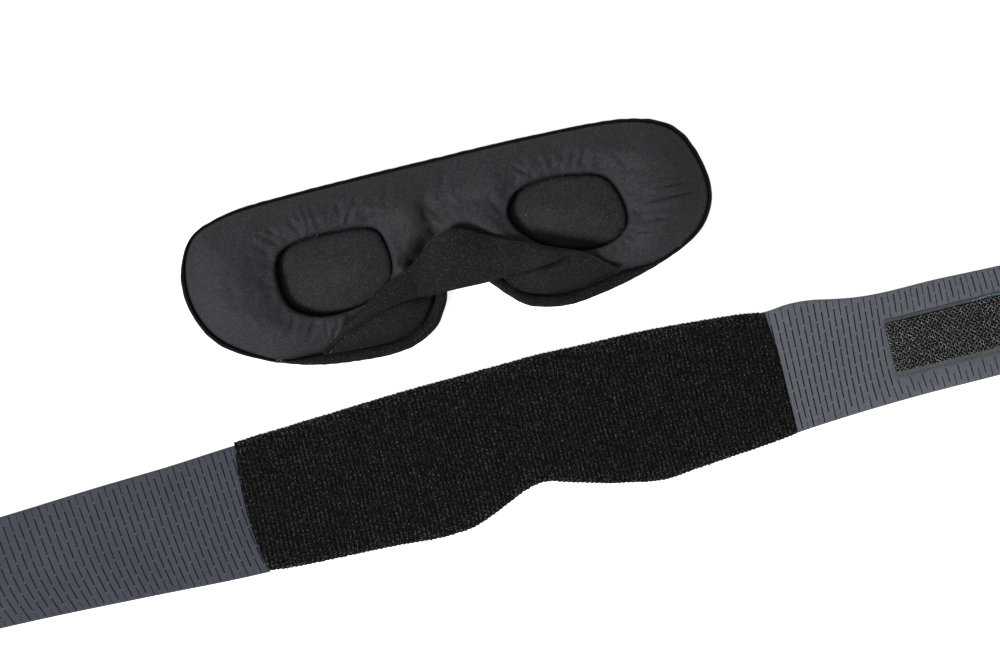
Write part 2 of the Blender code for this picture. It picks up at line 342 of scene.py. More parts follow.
def double_skin(top: Array, bottom: Array) -> tuple[Array, list]:
    """Joins two grids that lie over each other into one closed piece of cloth.

    Args:
        top: points as [row, column, xyz].
        bottom: the same shape, underneath.

    Returns:
        The points as rows, and the faces.
    """
    rows, columns = top.shape[:2]
    faces = []
    for i in range(rows - 1):
        for k in range(columns - 1):
            a = i * columns + k
            faces.append((a, a + 1, a + columns + 1, a + columns))
            b = a + rows * columns
            faces.append((b, b + columns, b + columns + 1, b + 1))
    edge = list(range(columns))
    edge += [i * columns + columns - 1 for i in range(1, rows)]
    edge += [(rows - 1) * columns + k for k in range(columns - 2, -1, -1)]
    edge += [i * columns for i in range(rows - 2, 0, -1)]
    for a, b in zip(edge, edge[1:] + edge[:1]):
        faces.append((a, a + rows * columns, b + rows * columns, b))
    return np.concatenate([top.reshape(-1, 3), bottom.reshape(-1, 3)]), faces


@dataclass
class Patch:
    """An area of cloth with a rim and holes, meshed with even triangles.

    Attributes:
        rim: the outer loop, clockwise.
        holes: loops that are left open.
        spacing: the size of the triangles, or 0 for none but those that the loops need.
    """

    rim: Array
    holes: list[Array]
    spacing: float

    def mesh(self) -> tuple[Array, list, list[Ring]]:
        """Meshes the area.

        Returns:
            The points, the triangles, and for each loop the numbers of its points.
        """
        loops = [self.rim, *self.holes]
        points = [np.array(loop) for loop in loops]
        edges, start = [], 0
        for loop in loops:
            count = len(loop)
            edges += [(start + i, start + (i + 1) % count) for i in range(count)]
            start += count
        if self.spacing:
            points.append(self.filling())
        flat = np.concatenate(points)
        out = delaunay_2d_cdt([Vector(p) for p in flat], edges, [], 0, 1e-5)
        made = np.array([tuple(p) for p in out[0]])
        place = {old: new for new, olds in enumerate(out[3]) for old in olds}
        triangles = np.array([tuple(f) for f in out[2]])
        middle = made[triangles].mean(axis=1)
        kept = inside(self.rim, middle)
        for hole in self.holes:
            kept &= ~inside(hole, middle)
        rings, start = [], 0
        for loop in loops:
            rings.append([place[start + i] for i in range(len(loop))])
            start += len(loop)
        return made, triangles[kept].tolist(), rings

    def filling(self) -> Array:
        """Fills the area with points in staggered rows.

        Returns:
            Rows of x and y, clear of the rim and the holes.
        """
        step = self.spacing
        low, high = self.rim.min(axis=0), self.rim.max(axis=0)
        rows = np.arange(low[1], high[1], step * math.sin(math.pi / 3))
        grid = np.array([
            (x, y)
            for i, y in enumerate(rows)
            for x in np.arange(low[0] + (i % 2) * step / 2, high[0], step)
        ])
        clear = step * 0.6
        kept = inside(self.rim, grid)
        kept[kept] &= distance_to(self.rim, grid[kept]) > clear
        for hole in self.holes:
            kept[kept] &= ~inside(hole, grid[kept])
            kept[kept] &= distance_to(hole, grid[kept]) > clear
        return grid[kept]


def pillow(loop: Array, spacing: float, height: Callable[[Array], Array], flat: float) -> tuple:
    """A closed shape over a loop, with one shaped face, one flat face and a wall between them.

    Args:
        loop: its clockwise outline.
        spacing: the size of the shaped face's triangles.
        height: gives the shaped face's heights at rows of x and y.
        flat: the flat face's height.

    Returns:
        The points as rows, and the faces.
    """
    made, triangles, rings = Patch(loop, [], spacing).mesh()
    plain, under, plain_rings = Patch(loop, [], 0).mesh()
    start = len(made)
    faces = [tuple(f) for f in triangles] + [tuple(i + start for i in f) for f in under]
    faces += walls([rings[0], [i + start for i in plain_rings[0]]])
    shaped = np.column_stack([made, height(made)])
    return np.concatenate([shaped, at_height(plain, flat)]), faces


# ---- finishes


def preset(node: bpy.types.Node, **values: object) -> None:
    """Sets a node's own sockets, each named with _ for a space."""
    for name, value in values.items():
        node.inputs[name.replace("_", " ")].default_value = value


class Graph:
    """A material's nodes, added one at a time."""

    def __init__(self, name: str) -> None:
        """Starts a material that holds only its shader and output.

        Args:
            name: the material's name.
        """
        self.material = bpy.data.materials.new(name)
        self.material.use_nodes = True
        self.nodes = self.material.node_tree.nodes
        self.shader = self.nodes["Principled BSDF"]

    def add(self, kind: str, inputs: dict | None = None, **settings) -> bpy.types.Node:
        """Adds a node.

        Args:
            kind: the node's type name after ShaderNode.
            inputs: for each input's name or number, a value or the socket that feeds it.
            **settings: the node's own properties.

        Returns:
            The node.
        """
        node = self.nodes.new("ShaderNode" + kind)
        for key, value in settings.items():
            setattr(node, key, value)
        for key, value in (inputs or {}).items():
            self.feed(node.inputs[key], value)
        return node

    def feed(self, socket: Socket, value: object) -> None:
        """Sets a socket, or links it.

        Args:
            socket: the socket to set.
            value: its value, or the socket that feeds it.
        """
        if isinstance(value, Socket):
            self.material.node_tree.links.new(value, socket)
        else:
            socket.default_value = value

    def coordinates(self, size: Place, turn: float = 0.0) -> Socket:
        """Object coordinates, counted in steps of a size.

        Args:
            size: the step along X, Y and Z, in metres.
            turn: the angle that they are turned by about Z.

        Returns:
            The socket with the coordinates.
        """
        place = self.add("TexCoord").outputs["Object"]
        inputs = {"Vector": place, "Scale": size, "Rotation": (0.0, 0.0, turn)}
        return self.add("Mapping", inputs, vector_type="TEXTURE").outputs["Vector"]

    def noise(self, size: float, stretch: Place = (1, 1, 1), detail: float = 2.0, turn: float = 0.0) -> Socket:
        """A cloudy pattern.

        Args:
            size: the size of its blobs.
            stretch: how much longer they are along X, Y and Z.
            detail: how much finer noise they hold.
            turn: the angle that they are turned by.

        Returns:
            The socket with the pattern's height, from 0 to 1.
        """
        vector = self.coordinates(tuple(size * MM * s for s in stretch), turn)
        inputs = {"Vector": vector, "Scale": 1.0, "Detail": detail, "Roughness": 0.6}
        return self.add("TexNoise", inputs).outputs["Fac"]

    def sharpen(self, height: Socket, low: float, high: float) -> Socket:
        """Stretches the heights from low to high over 0 to 1."""
        inputs = {"Value": height, "From Min": low, "From Max": high}
        return self.add("MapRange", inputs).outputs["Result"]

    def mix(self, share: object, a: object, b: object) -> Socket:
        """Mixes two colours.

        Args:
            share: how much of b there is, as a number or a socket.
            a: the colour at 0, or its socket.
            b: the colour at 1, or its socket.

        Returns:
            The socket with the mixed colour.
        """
        node = self.add("Mix", data_type="RGBA")
        self.feed(node.inputs["Factor"], share)
        for key, value in (("A", a), ("B", b)):
            socket = next(s for s in node.inputs if s.name == key and s.type == "RGBA")
            self.feed(socket, (*value, 1.0) if isinstance(value, tuple) else value)
        return next(s for s in node.outputs if s.type == "RGBA")

    def maths(self, operation: str, a: object, b: object, c: object = 0.0) -> Socket:
        """One sum on two or three numbers or sockets."""
        return self.add("Math", {0: a, 1: b, 2: c}, operation=operation).outputs[0]

    def bump(self, height: Socket, depth: float, under: object = None) -> Socket:
        """Bumps the surface.

        Args:
            height: the socket with the pattern's height.
            depth: how deep the pattern is.
            under: the socket of a normal that this one lies on, if there is one.

        Returns:
            The socket with the bumped normal.
        """
        inputs = {"Height": height, "Distance": depth * MM, "Strength": 1.0}
        if under is not None:
            inputs["Normal"] = under
        return self.add("Bump", inputs).outputs["Normal"]


def grey(level: float) -> Colour:
    """A grey as a colour."""
    return (level, level, level)


@dataclass(frozen=True)
class Cloth:
    """A woven, knitted or brushed finish.

    Attributes:
        name: the material's name.
        dark: the colour down between the threads.
        light: the colour on the threads.
        grain: the size of a thread or stitch.
        stretch: how much longer the grain is along X, Y and Z.
        turn: the grain's angle.
        blotch: how much the colour drifts over a few centimetres, from 0 to 1.
        speck: the share of threads that catch the light, from 0 to 1.
        speck_colour: the colour of those threads.
        speck_size: their size.
        roughness: the surface's roughness.
        depth: how deep the grain is.
        rib: the pitch of ribs across the cloth, or 0 for none.
        rib_turn: the angle of the ribs.
        rib_depth: how deep they are.
        crests: whether the piece's mesh carries painted light for its specks, with painted shade between its ribs and
            a painted highlight along its edges.
    """

    name: str
    dark: Colour
    light: Colour
    grain: float = 0.5
    stretch: Place = (1.0, 1.0, 1.0)
    turn: float = 0.0
    blotch: float = 0.3
    speck: float = 0.0
    speck_colour: Colour = (0.1, 0.1, 0.1)
    speck_size: float = 0.3
    roughness: float = 0.8
    depth: float = 0.05
    rib: float = 0.0
    rib_turn: float = 0.0
    rib_depth: float = 0.1
    crests: bool = False

    def make(self) -> bpy.types.Material:
        """Builds the material.

        Returns:
            The material.
        """
        g = Graph(self.name)
        grain = g.sharpen(g.noise(self.grain, self.stretch, 2.0, self.turn), 0.3, 0.7)
        cloud = g.sharpen(g.noise(22.0, detail=3.0), 0.25, 0.75)
        share = g.maths("MULTIPLY_ADD", cloud, self.blotch, g.maths("MULTIPLY", grain, 1.0 - self.blotch))
        if self.rib:
            ribs = self.ribs(g)
            share = g.maths("MULTIPLY", share, g.maths("MULTIPLY_ADD", ribs, 0.6, 0.4))
        colour = g.mix(share, self.dark, self.light)
        if self.speck:
            fleck = g.noise(self.speck_size, self.stretch, 1.0, self.turn)
            lit = g.sharpen(fleck, 0.74 - self.speck * 0.3, 0.86 - self.speck * 0.3)
            # Painted light: the mesh's attribute dims the specks almost to black between the ribs, as painted shade,
            # and brightens them along the edges, as a painted highlight.
            if self.crests:
                crest = g.add("Attribute", attribute_name=PAINTED_LIGHT_ATTRIBUTE).outputs["Fac"]
                lit = g.maths("MULTIPLY", lit, g.maths("MULTIPLY_ADD", crest, 0.93, 0.07))
            colour = g.mix(lit, colour, self.speck_colour)
        normal = g.bump(grain, self.depth)
        if self.rib:
            normal = g.bump(ribs, self.rib_depth, normal)
        g.feed(g.shader.inputs["Base Color"], colour)
        g.feed(g.shader.inputs["Normal"], normal)
        preset(g.shader, Roughness=self.roughness, Specular_IOR_Level=0.08)
        return g.material

    def ribs(self, g: Graph) -> Socket:
        """Straight ribs across the cloth.

        Args:
            g: the material's nodes.

        Returns:
            The socket with the ribs' height, from 0 to 1.
        """
        vector = g.coordinates((self.rib * MM,) * 3, self.rib_turn)
        inputs = {"Vector": vector, "Scale": math.pi / 10.0, "Distortion": 0.6, "Detail": 1.0, "Detail Scale": 2.0}
        return g.add("TexWave", inputs, bands_direction="X").outputs["Fac"]


@dataclass(frozen=True)
class Filament:
    """Nylon thread or moulded hooks.

    Attributes:
        name: the material's name.
        dark: its darker colour.
        light: its lighter colour.
        grain: the length over which one turns into the other.
        roughness: the surface's roughness.
    """

    name: str
    dark: Colour
    light: Colour
    grain: float = 1.2
    roughness: float = 0.4

    def make(self) -> bpy.types.Material:
        """Builds the material.

        Returns:
            The material.
        """
        g = Graph(self.name)
        share = g.sharpen(g.noise(self.grain, detail=1.0), 0.4, 0.68)
        g.feed(g.shader.inputs["Base Color"], g.mix(share, self.dark, self.light))
        g.feed(g.shader.inputs["Normal"], g.bump(g.noise(0.25), 0.02))
        preset(g.shader, Roughness=self.roughness, Specular_IOR_Level=0.5 if self.roughness < 0.4 else 0.1)
        return g.material


class Finish(Enum):
    """The finishes of the object's own pieces."""

    SATIN = Cloth(
        "charcoal_satin", (0.0145, 0.0142, 0.0157), (0.0344, 0.0337, 0.0398), grain=0.7, stretch=(1.5, 0.8, 1.0),
        turn=0.25, blotch=0.14, speck=0.2, speck_colour=(0.057, 0.055, 0.071), speck_size=0.7, roughness=0.62,
        depth=0.065,
    )
    JERSEY = Cloth(
        "well_jersey", grey(0.0082), (0.0335, 0.033, 0.0362), grain=0.75, stretch=(1.8, 0.75, 1.0),
        turn=0.5, blotch=0.3, speck=0.15, speck_colour=(0.085, 0.085, 0.1), speck_size=0.8, depth=0.12,
    )
    KNIT = Cloth(
        "black_knit", grey(0.0035), grey(0.0115), grain=0.7, blotch=0.25, speck=0.56,
        speck_colour=grey(0.026), speck_size=0.7, roughness=0.9, depth=0.2,
    )
    FLAP_KNIT = Cloth(
        "flap_knit", grey(0.0055), grey(0.0155), grain=0.7, blotch=0.3, speck=0.56,
        speck_colour=(0.028, 0.028, 0.0275), speck_size=0.7, roughness=0.9, depth=0.2,
    )
    BINDING = Cloth(
        "edge_binding", grey(0.0025), grey(0.0065), grain=0.5, blotch=0.1,
        roughness=0.85, depth=0.08,
    )
    # The loop pile takes painted shade between its ribs and a painted edge highlight from its mesh.
    PILE = Cloth(
        "loop_pile", grey(0.0004), grey(0.0022), grain=0.6, stretch=(0.8, 1.5, 1.0),
        blotch=0.12, speck=0.57, speck_colour=grey(0.084), speck_size=0.55, roughness=0.8, depth=0.25,
        crests=True,
    )
    LOOP_TAPE = Cloth(
        "loop_tape_pile", grey(0.002), grey(0.009), grain=0.7, blotch=0.2, speck=0.5,
        speck_colour=grey(0.04), speck_size=0.6, roughness=0.85, depth=0.25,
    )
    ELASTIC = Cloth(
        "blue_grey_elastic", (0.036, 0.04, 0.0505), (0.072, 0.078, 0.0945), grain=0.7, stretch=(0.6, 2.2, 1.0),
        blotch=0.35, roughness=0.8, depth=0.05, rib=0.55, rib_depth=0.03,
    )
    # The right strap's elastic: the same cloth as the left's, in paler colours.
    STRETCHED = Cloth(
        "stretched_elastic", (0.066, 0.0705, 0.0815), (0.125, 0.132, 0.151), grain=0.7, stretch=(0.6, 2.2, 1.0),
        blotch=0.35, roughness=0.8, depth=0.05, rib=0.55, rib_depth=0.03,
    )
    BACKING = Cloth(
        "backing_cloth", (0.012, 0.013, 0.016), (0.026, 0.028, 0.034), grain=0.5, blotch=0.3, roughness=0.85,
        depth=0.06, rib=0.8, rib_depth=0.05,
    )
    FELT = Cloth("grey_felt", grey(0.05), grey(0.11), grain=0.9, roughness=0.95, depth=0.15)
    TAPE = Cloth(
        "hook_tape_weave", (0.045, 0.05, 0.052), (0.12, 0.128, 0.132), grain=0.45, blotch=0.2, roughness=0.7,
        depth=0.12, rib=0.7, rib_depth=0.1,
    )
    # The hooks' lighter colour is painted glints.
    HOOKS = Filament("nylon_hooks", (0.03, 0.03, 0.031), (0.29, 0.29, 0.3), grain=0.7, roughness=0.25)
    LOOPS = Filament("pile_loops", grey(0.0008), grey(0.035), grain=0.7, roughness=0.6)
    DARK_THREAD = Filament("dark_thread", (0.005, 0.006, 0.009), (0.011, 0.013, 0.019), roughness=0.8)
    PALE_THREAD = Filament("pale_thread", (0.09, 0.102, 0.125), (0.165, 0.18, 0.21), roughness=0.7)
    BLACK_THREAD = Filament("black_thread", grey(0.002), grey(0.008), roughness=0.7)
    GREY_THREAD = Filament("grey_thread", (0.03, 0.034, 0.036), (0.09, 0.098, 0.1), roughness=0.6)
    LOOSE_THREAD = Filament("loose_thread", (0.06, 0.062, 0.066), grey(0.3), roughness=0.6)
    EDGE_THREAD = Filament("strap_edge_thread", (0.014, 0.013, 0.012), (0.045, 0.042, 0.037), roughness=0.7)
    BLUE_THREAD = Filament("blue_thread", (0.05, 0.3, 0.42), (0.3, 0.72, 0.85), roughness=0.5)

    def material(self) -> bpy.types.Material:
        """The finish's material, made when it is first asked for."""
        return bpy.data.materials.get(self.value.name) or self.value.make()


# ---- repeated small pieces


class Bit(Enum):
    """What a repeated small piece is."""

    BAR = "bar"
    BEAD = "bead"
    HOOK = "hook"
    THREAD = "thread"


@dataclass
class Scatter:
    """A geometry-nodes tree that sets one small piece on each point of a guide.

    Attributes:
        bit: the small piece.
        length: its length, or a hook's height.
        width: its thickness.
    """

    bit: Bit
    length: float
    width: float

    def build(
        self, name: str, points: Sequence, turns: Sequence, finish: Finish, sizes: Sequence | None = None
    ) -> Object:
        """Makes the pieces as one plain mesh.

        Args:
            name: the mesh object's name.
            points: where each one goes.
            turns: how each one is turned, as angles about X, Y and Z.
            finish: their finish.
            sizes: how each one is scaled, or None for all alike.

        Returns:
            The object that holds them all.
        """
        guide = bpy.data.meshes.new(name + "_guide")
        guide.from_pydata((np.asarray(points, float) * MM).tolist(), [], [])
        scales = np.ones(len(points)) if sizes is None else np.asarray(sizes, float)
        turn = guide.attributes.new("turn", "FLOAT_VECTOR", "POINT")
        turn.data.foreach_set("vector", np.asarray(turns, np.float32).ravel())
        size = guide.attributes.new("size", "FLOAT", "POINT")
        size.data.foreach_set("value", scales.astype(np.float32))
        holder = add_object(name + "_holder", guide)
        modifier = holder.modifiers.new("Scatter", "NODES")
        modifier.node_group = tree = self.tree(name + "_nodes")
        values = {"Length": self.length * MM, "Width": self.width * MM, "Material": finish.material()}
        for item in tree.interface.items_tree:
            if item.in_out == "INPUT" and item.name in values:
                modifier[item.identifier] = values[item.name]
        plain = bpy.data.meshes.new_from_object(holder.evaluated_get(bpy.context.evaluated_depsgraph_get()))
        bpy.data.objects.remove(holder)
        plain.name = name
        plain.shade_smooth()
        plain.set_sharp_from_angle(angle=math.radians(50))
        return add_object(name, plain)

    def tree(self, name: str) -> bpy.types.NodeTree:
        """Builds the node tree, with inputs for the small piece's sizes and material.

        Args:
            name: the tree's name.

        Returns:
            The tree.
        """
        tree = bpy.data.node_groups.new(name, "GeometryNodeTree")
        sockets = (("Geometry", "Geometry"), ("Length", "Float"), ("Width", "Float"), ("Material", "Material"))
        for label, kind in sockets:
            tree.interface.new_socket(label, in_out="INPUT", socket_type="NodeSocket" + kind)
        tree.interface.new_socket("Geometry", in_out="OUTPUT", socket_type="NodeSocketGeometry")
        given = tree.nodes.new("NodeGroupInput").outputs
        result = tree.nodes.new("NodeGroupOutput").inputs
        join, new = tree.links.new, tree.nodes.new
        place = new("GeometryNodeInstanceOnPoints")
        join(given["Geometry"], place.inputs["Points"])
        join(self.shape(tree, given), place.inputs["Instance"])
        euler = new("FunctionNodeEulerToRotation")
        join(self.attribute(tree, "turn", "FLOAT_VECTOR"), euler.inputs[0])
        join(euler.outputs[0], place.inputs["Rotation"])
        join(self.attribute(tree, "size", "FLOAT"), place.inputs["Scale"])
        real = new("GeometryNodeRealizeInstances")
        join(place.outputs["Instances"], real.inputs["Geometry"])
        paint = new("GeometryNodeSetMaterial")
        join(real.outputs["Geometry"], paint.inputs["Geometry"])
        join(given["Material"], paint.inputs["Material"])
        join(paint.outputs["Geometry"], result["Geometry"])
        return tree

    @staticmethod
    def attribute(tree: bpy.types.NodeTree, name: str, kind: str) -> Socket:
        """Reads an attribute of the guide's points.

        Args:
            tree: the node tree.
            name: the attribute's name.
            kind: its data type.

        Returns:
            The socket with its value.
        """
        node = tree.nodes.new("GeometryNodeInputNamedAttribute")
        node.data_type = kind
        node.inputs["Name"].default_value = name
        return next(s for s in node.outputs if s.name == "Attribute" and s.enabled)

    def shape(self, tree: bpy.types.NodeTree, given: object) -> Socket:
        """Builds the small piece itself.

        Args:
            tree: the node tree.
            given: the tree's inputs.

        Returns:
            The socket with its mesh, lying along X or, for a hook, standing up.
        """
        join, new = tree.links.new, tree.nodes.new
        if self.bit is Bit.BEAD:
            ball = new("GeometryNodeMeshIcoSphere")
            ball.inputs["Subdivisions"].default_value = 1
            join(given["Width"], ball.inputs["Radius"])
            return ball.outputs["Mesh"]
        if self.bit is Bit.BAR:
            cube = new("GeometryNodeMeshCube")
            size = new("ShaderNodeCombineXYZ")
            join(given["Length"], size.inputs["X"])
            join(given["Width"], size.inputs["Y"])
            size.inputs["Z"].default_value = 0.16 * MM
            join(size.outputs[0], cube.inputs["Size"])
            return cube.outputs["Mesh"]
        line = new("GeometryNodeCurveArc")
        half = new("ShaderNodeMath")
        half.operation = "MULTIPLY"
        join(given["Length"], half.inputs[0])
        join(half.outputs[0], line.inputs["Radius"])
        stand = new("GeometryNodeTransform")
        stand.inputs["Rotation"].default_value = (math.pi / 2, 0.0, 0.0)
        hooked = self.bit is Bit.HOOK
        line.inputs["Resolution"].default_value = 7 if hooked else 5
        line.inputs["Start Angle"].default_value = math.radians(-50 if hooked else 60)
        line.inputs["Sweep Angle"].default_value = math.radians(245 if hooked else 60)
        half.inputs[1].default_value = 0.5 if hooked else 1.0
        if not hooked:
            drop = new("ShaderNodeCombineXYZ")
            fall = new("ShaderNodeMath")
            fall.operation = "MULTIPLY"
            fall.inputs[1].default_value = -0.93
            join(given["Length"], fall.inputs[0])
            join(fall.outputs[0], drop.inputs["Z"])
            join(drop.outputs[0], stand.inputs["Translation"])
        profile = new("GeometryNodeCurvePrimitiveCircle")
        profile.inputs["Resolution"].default_value = 3
        join(given["Width"], profile.inputs["Radius"])
        skin = new("GeometryNodeCurveToMesh")
        skin.inputs["Fill Caps"].default_value = True
        join(line.outputs["Curve"], skin.inputs["Curve"])
        join(profile.outputs["Curve"], skin.inputs["Profile Curve"])
        join(skin.outputs["Mesh"], stand.inputs["Geometry"])
        return stand.outputs["Geometry"]


def stitches(name: str, line: Array, finish: Finish, pitch: float = 2.6, closed: bool = False) -> Object:
    """A row of stitches along a line.

    Args:
        name: the object's name.
        line: rows of x, y and z.
        finish: the thread.
        pitch: the length of a stitch with its gap.
        closed: whether the line runs back to its start.

    Returns:
        The stitches as one object.
    """
    spots = even(line, pitch, closed)
    ahead = np.roll(spots, -1, 0) if closed else np.vstack([spots[1:], spots[-1:] * 2 - spots[-2:-1]])
    run = ahead - spots
    turns = np.zeros_like(spots)
    turns[:, 2] = np.arctan2(run[:, 1], run[:, 0])
    turns[:, 1] = -np.arctan2(run[:, 2], np.hypot(run[:, 0], run[:, 1]))
    return Scatter(Bit.THREAD, pitch * 0.78, 0.16).build(name, (spots + ahead) / 2, turns, finish)


# ---- bends


@dataclass(frozen=True)
class Bend:
    """A joint that cloth crosses.

    Attributes:
        still: the body on the near side; not used.
        moving: the body that turns.
        start: the x where the cloth is meant to start following the moving body; not used.
        end: the x past which it is meant to follow it fully; not used.
    """

    still: str
    moving: str
    start: float
    end: float

    def apply(self, piece: Object) -> None:
        """Bakes a finished piece's placement into its mesh."""
        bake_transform(piece)


def settle(piece: Object, body: str | Bend, nodes: Sequence[str] = ()) -> None:
    """Attaches a finished piece to the body that it rides on, or bakes its placement in where it crosses a bend, and
    hides the CAD nodes that it stands for.

    Args:
        piece: the piece.
        body: the body that it rides on, or the bend that it crosses.
        nodes: the CAD nodes that it stands for.
    """
    if isinstance(body, Bend):
        body.apply(piece)
    else:
        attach(piece, body)
    if nodes:
        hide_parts(*nodes)


# ---- headband


@dataclass
class StrapRun:
    """One strap: its edges and the way its woven columns lean.

    Attributes:
        name: the start of its pieces' names.
        low: its lower edge.
        high: its upper edge.
        lean_low: how far a column shifts along the strap for each millimetre, on the way to the lower edge.
        lean_high: the same at the middle and above it.
        cuts: the x where it starts under the panel, the x where its lengths meet, and its end.
        bends: the joint that each of its two lengths crosses.
        nodes: the CAD node that each length stands for.
        finish: its elastic.
    """

    name: str
    low: list[Point]
    high: list[Point]
    lean_low: list[Point]
    lean_high: list[Point]
    cuts: tuple[float, float, float]
    bends: tuple[Bend, Bend]
    nodes: tuple[str, str]
    finish: Finish

    @property
    def end(self) -> float:
        """The x of its free end."""
        return self.cuts[2]


@dataclass(frozen=True)
class Length:
    """One of the two lengths that a strap is made in.

    Attributes:
        run: the strap.
        number: 0 for the length beside the panel, 1 for the free one.
    """

    run: StrapRun
    number: int

    @property
    def name(self) -> str:
        """The start of its pieces' names."""
        return self.run.name + ("_elastic", "_end_elastic")[self.number]

    @property
    def ends(self) -> Point:
        """The x where it starts, nearer the panel, and the x where it ends."""
        return self.run.cuts[self.number : self.number + 2]

    @property
    def bend(self) -> Bend:
        """The joint that it crosses."""
        return self.run.bends[self.number]


@dataclass
class Headband:
    """The ribbed loop panel, its layers and its two elastic straps."""

    panel_ends: tuple[float, float] = (-119.4, 118.0)
    panel_high: list[Point] = field(default_factory=lambda: [
        (-121, 28.0), (-112, 28.4), (-78, 30.0), (-43, 31.7), (-9, 32.5), (17, 33.1), (43, 32.5), (60, 32.2),
        (86, 30.6), (112, 28.2), (119, 27.0),
    ])
    panel_low: list[Point] = field(default_factory=lambda: [
        (-121, -29.0), (-112, -29.9), (-86, -31.1), (-60, -32.1), (-37, -33.3), (-26, -32.2), (-17, -29.1),
        (-8.6, -25.4), (0, -21.9), (8.6, -20.9), (17, -23.3), (26, -25.7), (35, -28.3), (43, -29.9), (52, -31.7),
        (60, -32.4), (69, -31.5), (86, -30.0), (112, -27.6), (119, -26.6),
    ])
    rib_pitch: float = 1.92
    rib_height: float = 0.34
    cloth_top: float = 3.55
    cloth_bottom: float = 2.5
    felt_span: Point = (1.45, 2.42)
    backing_span: Point = (0.0, 1.4)
    strap_thickness: float = 2.25
    column_pitch: tuple[float, float] = (2.76, 2.64)
    pitch_growth: float = 0.0075
    dash_length: float = 7.6
    dash_gap: float = 1.15
    half_width: float = 24.0
    first_column: float = 100.0
    patch: Box = (165.0, 247.0, -14.4, 11.4)
    field_box: Box = (166.0, 245.8, -11.8, 10.0)
    tape_span: Point = (2.45, 3.3)
    bed_span: Point = (3.25, 3.62)
    hook_pitch: float = 1.02
    hook_height: float = 1.3
    end_corner: float = 9.0
    loop_tape: Box = (-292.0, -222.0, -15.0, 10.0)

    def straps(self) -> list[StrapRun]:
        """Lists the two straps, as they leave the panel.

        Returns:
            The left strap and the right one.
        """
        return [
            StrapRun(
                "strap_left",
                [(-300, -24.5), (-260, -25.2), (-216, -26.0), (-173, -27.7), (-121, -29.9), (-112, -30.0)],
                [(-300, 19.5), (-260, 20.2), (-225, 21.2), (-181, 23.5), (-147, 24.9), (-121, 26.6), (-112, 27.0)],
                [(-300, -0.26), (-217, -0.26), (-196, -0.21), (-169, -0.16), (-143, -0.12), (-121, -0.14)],
                [(-300, -0.11), (-217, -0.11), (-196, -0.11), (-169, -0.09), (-143, -0.08), (-121, -0.06)],
                (-116.9, -168.0, -300.0),
                (
                    Bend("headband", "strap_left", -120.6, -142.0),
                    Bend("strap_left", "strap_left_tip", -199.0, -221.0),
                ),
                ("strap_left", "strap_left_tip"),
                Finish.ELASTIC,
            ),
            StrapRun(
                "strap_right",
                [(112, -27.4), (121, -26.6), (147, -24.9), (172, -24.0), (207, -23.7), (260, -23.2)],
                [
                    (112, 27.0), (119, 27.4), (128, 28.2), (138, 27.5), (147, 25.7), (155, 24.3), (195, 23.1),
                    (216, 22.4), (260, 21.4),
                ],
                [(118, 0.0), (150, 0.03), (165, -0.04), (195, -0.02), (216, -0.04), (260, -0.04)],
                [(118, 0.0), (140, 0.065), (185, 0.05), (216, -0.06), (260, -0.06)],
                (115.4, 144.0, 260.0),
                (Bend("headband", "strap_right", 119.5, 137.0), Bend("strap_right", "strap_tab", 149.0, 164.5)),
                ("strap_right", "strap_tab"),
                Finish.STRETCHED,
            ),
        ]

    def build(self) -> None:
        """Makes every piece of the headband."""
        self.panel()
        self.layers()
        for run in self.straps():
            for number in (0, 1):
                self.strap(Length(run, number))
        self.hook_patch()
        self.underside_tape()

    # panel

    def rib_phase(self, x: Array, y: Array) -> Array:
        """Where a point lies across the ribs, in turns of one rib each."""
        drift = 0.25 * ripple(x, y, 46.0, 3) + 0.5 * np.sin(y / 17.0 + x / 60.0)
        return (x + drift) / self.rib_pitch + 0.00009 * x**2 / self.rib_pitch

    def panel(self) -> None:
        """The ribbed loop cloth on the panel's face."""
        columns, rows = 880, 46
        s = np.linspace(0.0, 1.0, columns)[None, :]
        t = np.linspace(-1.0, 1.0, rows)[:, None]
        t = np.sign(t) * (1 - (1 - np.abs(t)) ** 1.25)
        left, right = self.panel_ends
        x = left + (right - left) * s + 0 * t
        low, high = track(self.panel_low, x), track(self.panel_high, x)
        y = (low + high) / 2 + (high - low) / 2 * t
        left_bow = -1.0 + 0.0024 * (y + 1.0) ** 2 + np.where(y < 0, 0.0016 * y**2, 0.0)
        right_bow = 0.3 - np.where(y > 0, 0.002 * y**2, 0.0)
        x = x + left_bow * (1 - smoothstep(0.0, 0.05, s)) + right_bow * smoothstep(0.95, 1.0, s)
        crest = 0.5 + 0.5 * np.cos(2 * np.pi * self.rib_phase(x, y))
        ragged = 0.12 * ripple(x, y, 3.1, 11)
        edge = np.abs(t) ** 30
        y = y + np.sign(t) * edge * (0.28 * crest + ragged)
        inset = np.minimum((1 - np.abs(t)) * 31.0, np.minimum(s, 1 - s) * 237.0)
        crown = rounded(inset, 1.4)
        pile = self.rib_height * crest**1.5 + 0.12 * ripple(x, y, 1.9, 21) + 0.1 * ripple(x, y, 7.0, 5)
        brim = self.cloth_bottom + 0.25
        z_top = brim + (self.cloth_top - brim) * crown + pile * (0.3 + 0.7 * crown)
        z_low = self.cloth_bottom + 0 * x
        points, faces = double_skin(np.stack([x, y, z_top], -1), np.stack([x, y, z_low], -1))
        cloth = make_piece("loop_panel_cloth", points, faces, Finish.PILE.material())
        # Painted light for the pile's specks: full on the rib crests, painted shade between them, and a painted
        # highlight along the top and bottom edges.
        lit = crest * (1 + 2.6 * np.abs(t) ** 16) + 0.4 * np.abs(t) ** 18
        lit = np.concatenate([lit.ravel(), np.zeros(lit.size)]).astype(np.float32)
        cloth.data.attributes.new(PAINTED_LIGHT_ATTRIBUTE, "FLOAT", "POINT").data.foreach_set("value", lit)
        settle(cloth, "headband", ["loop_panel"])
        self.pile(x[:, 6:-6], y[:, 6:-6], z_top[:, 6:-6])
        log.info("loop panel: %d ribs", round((right - left) / self.rib_pitch))

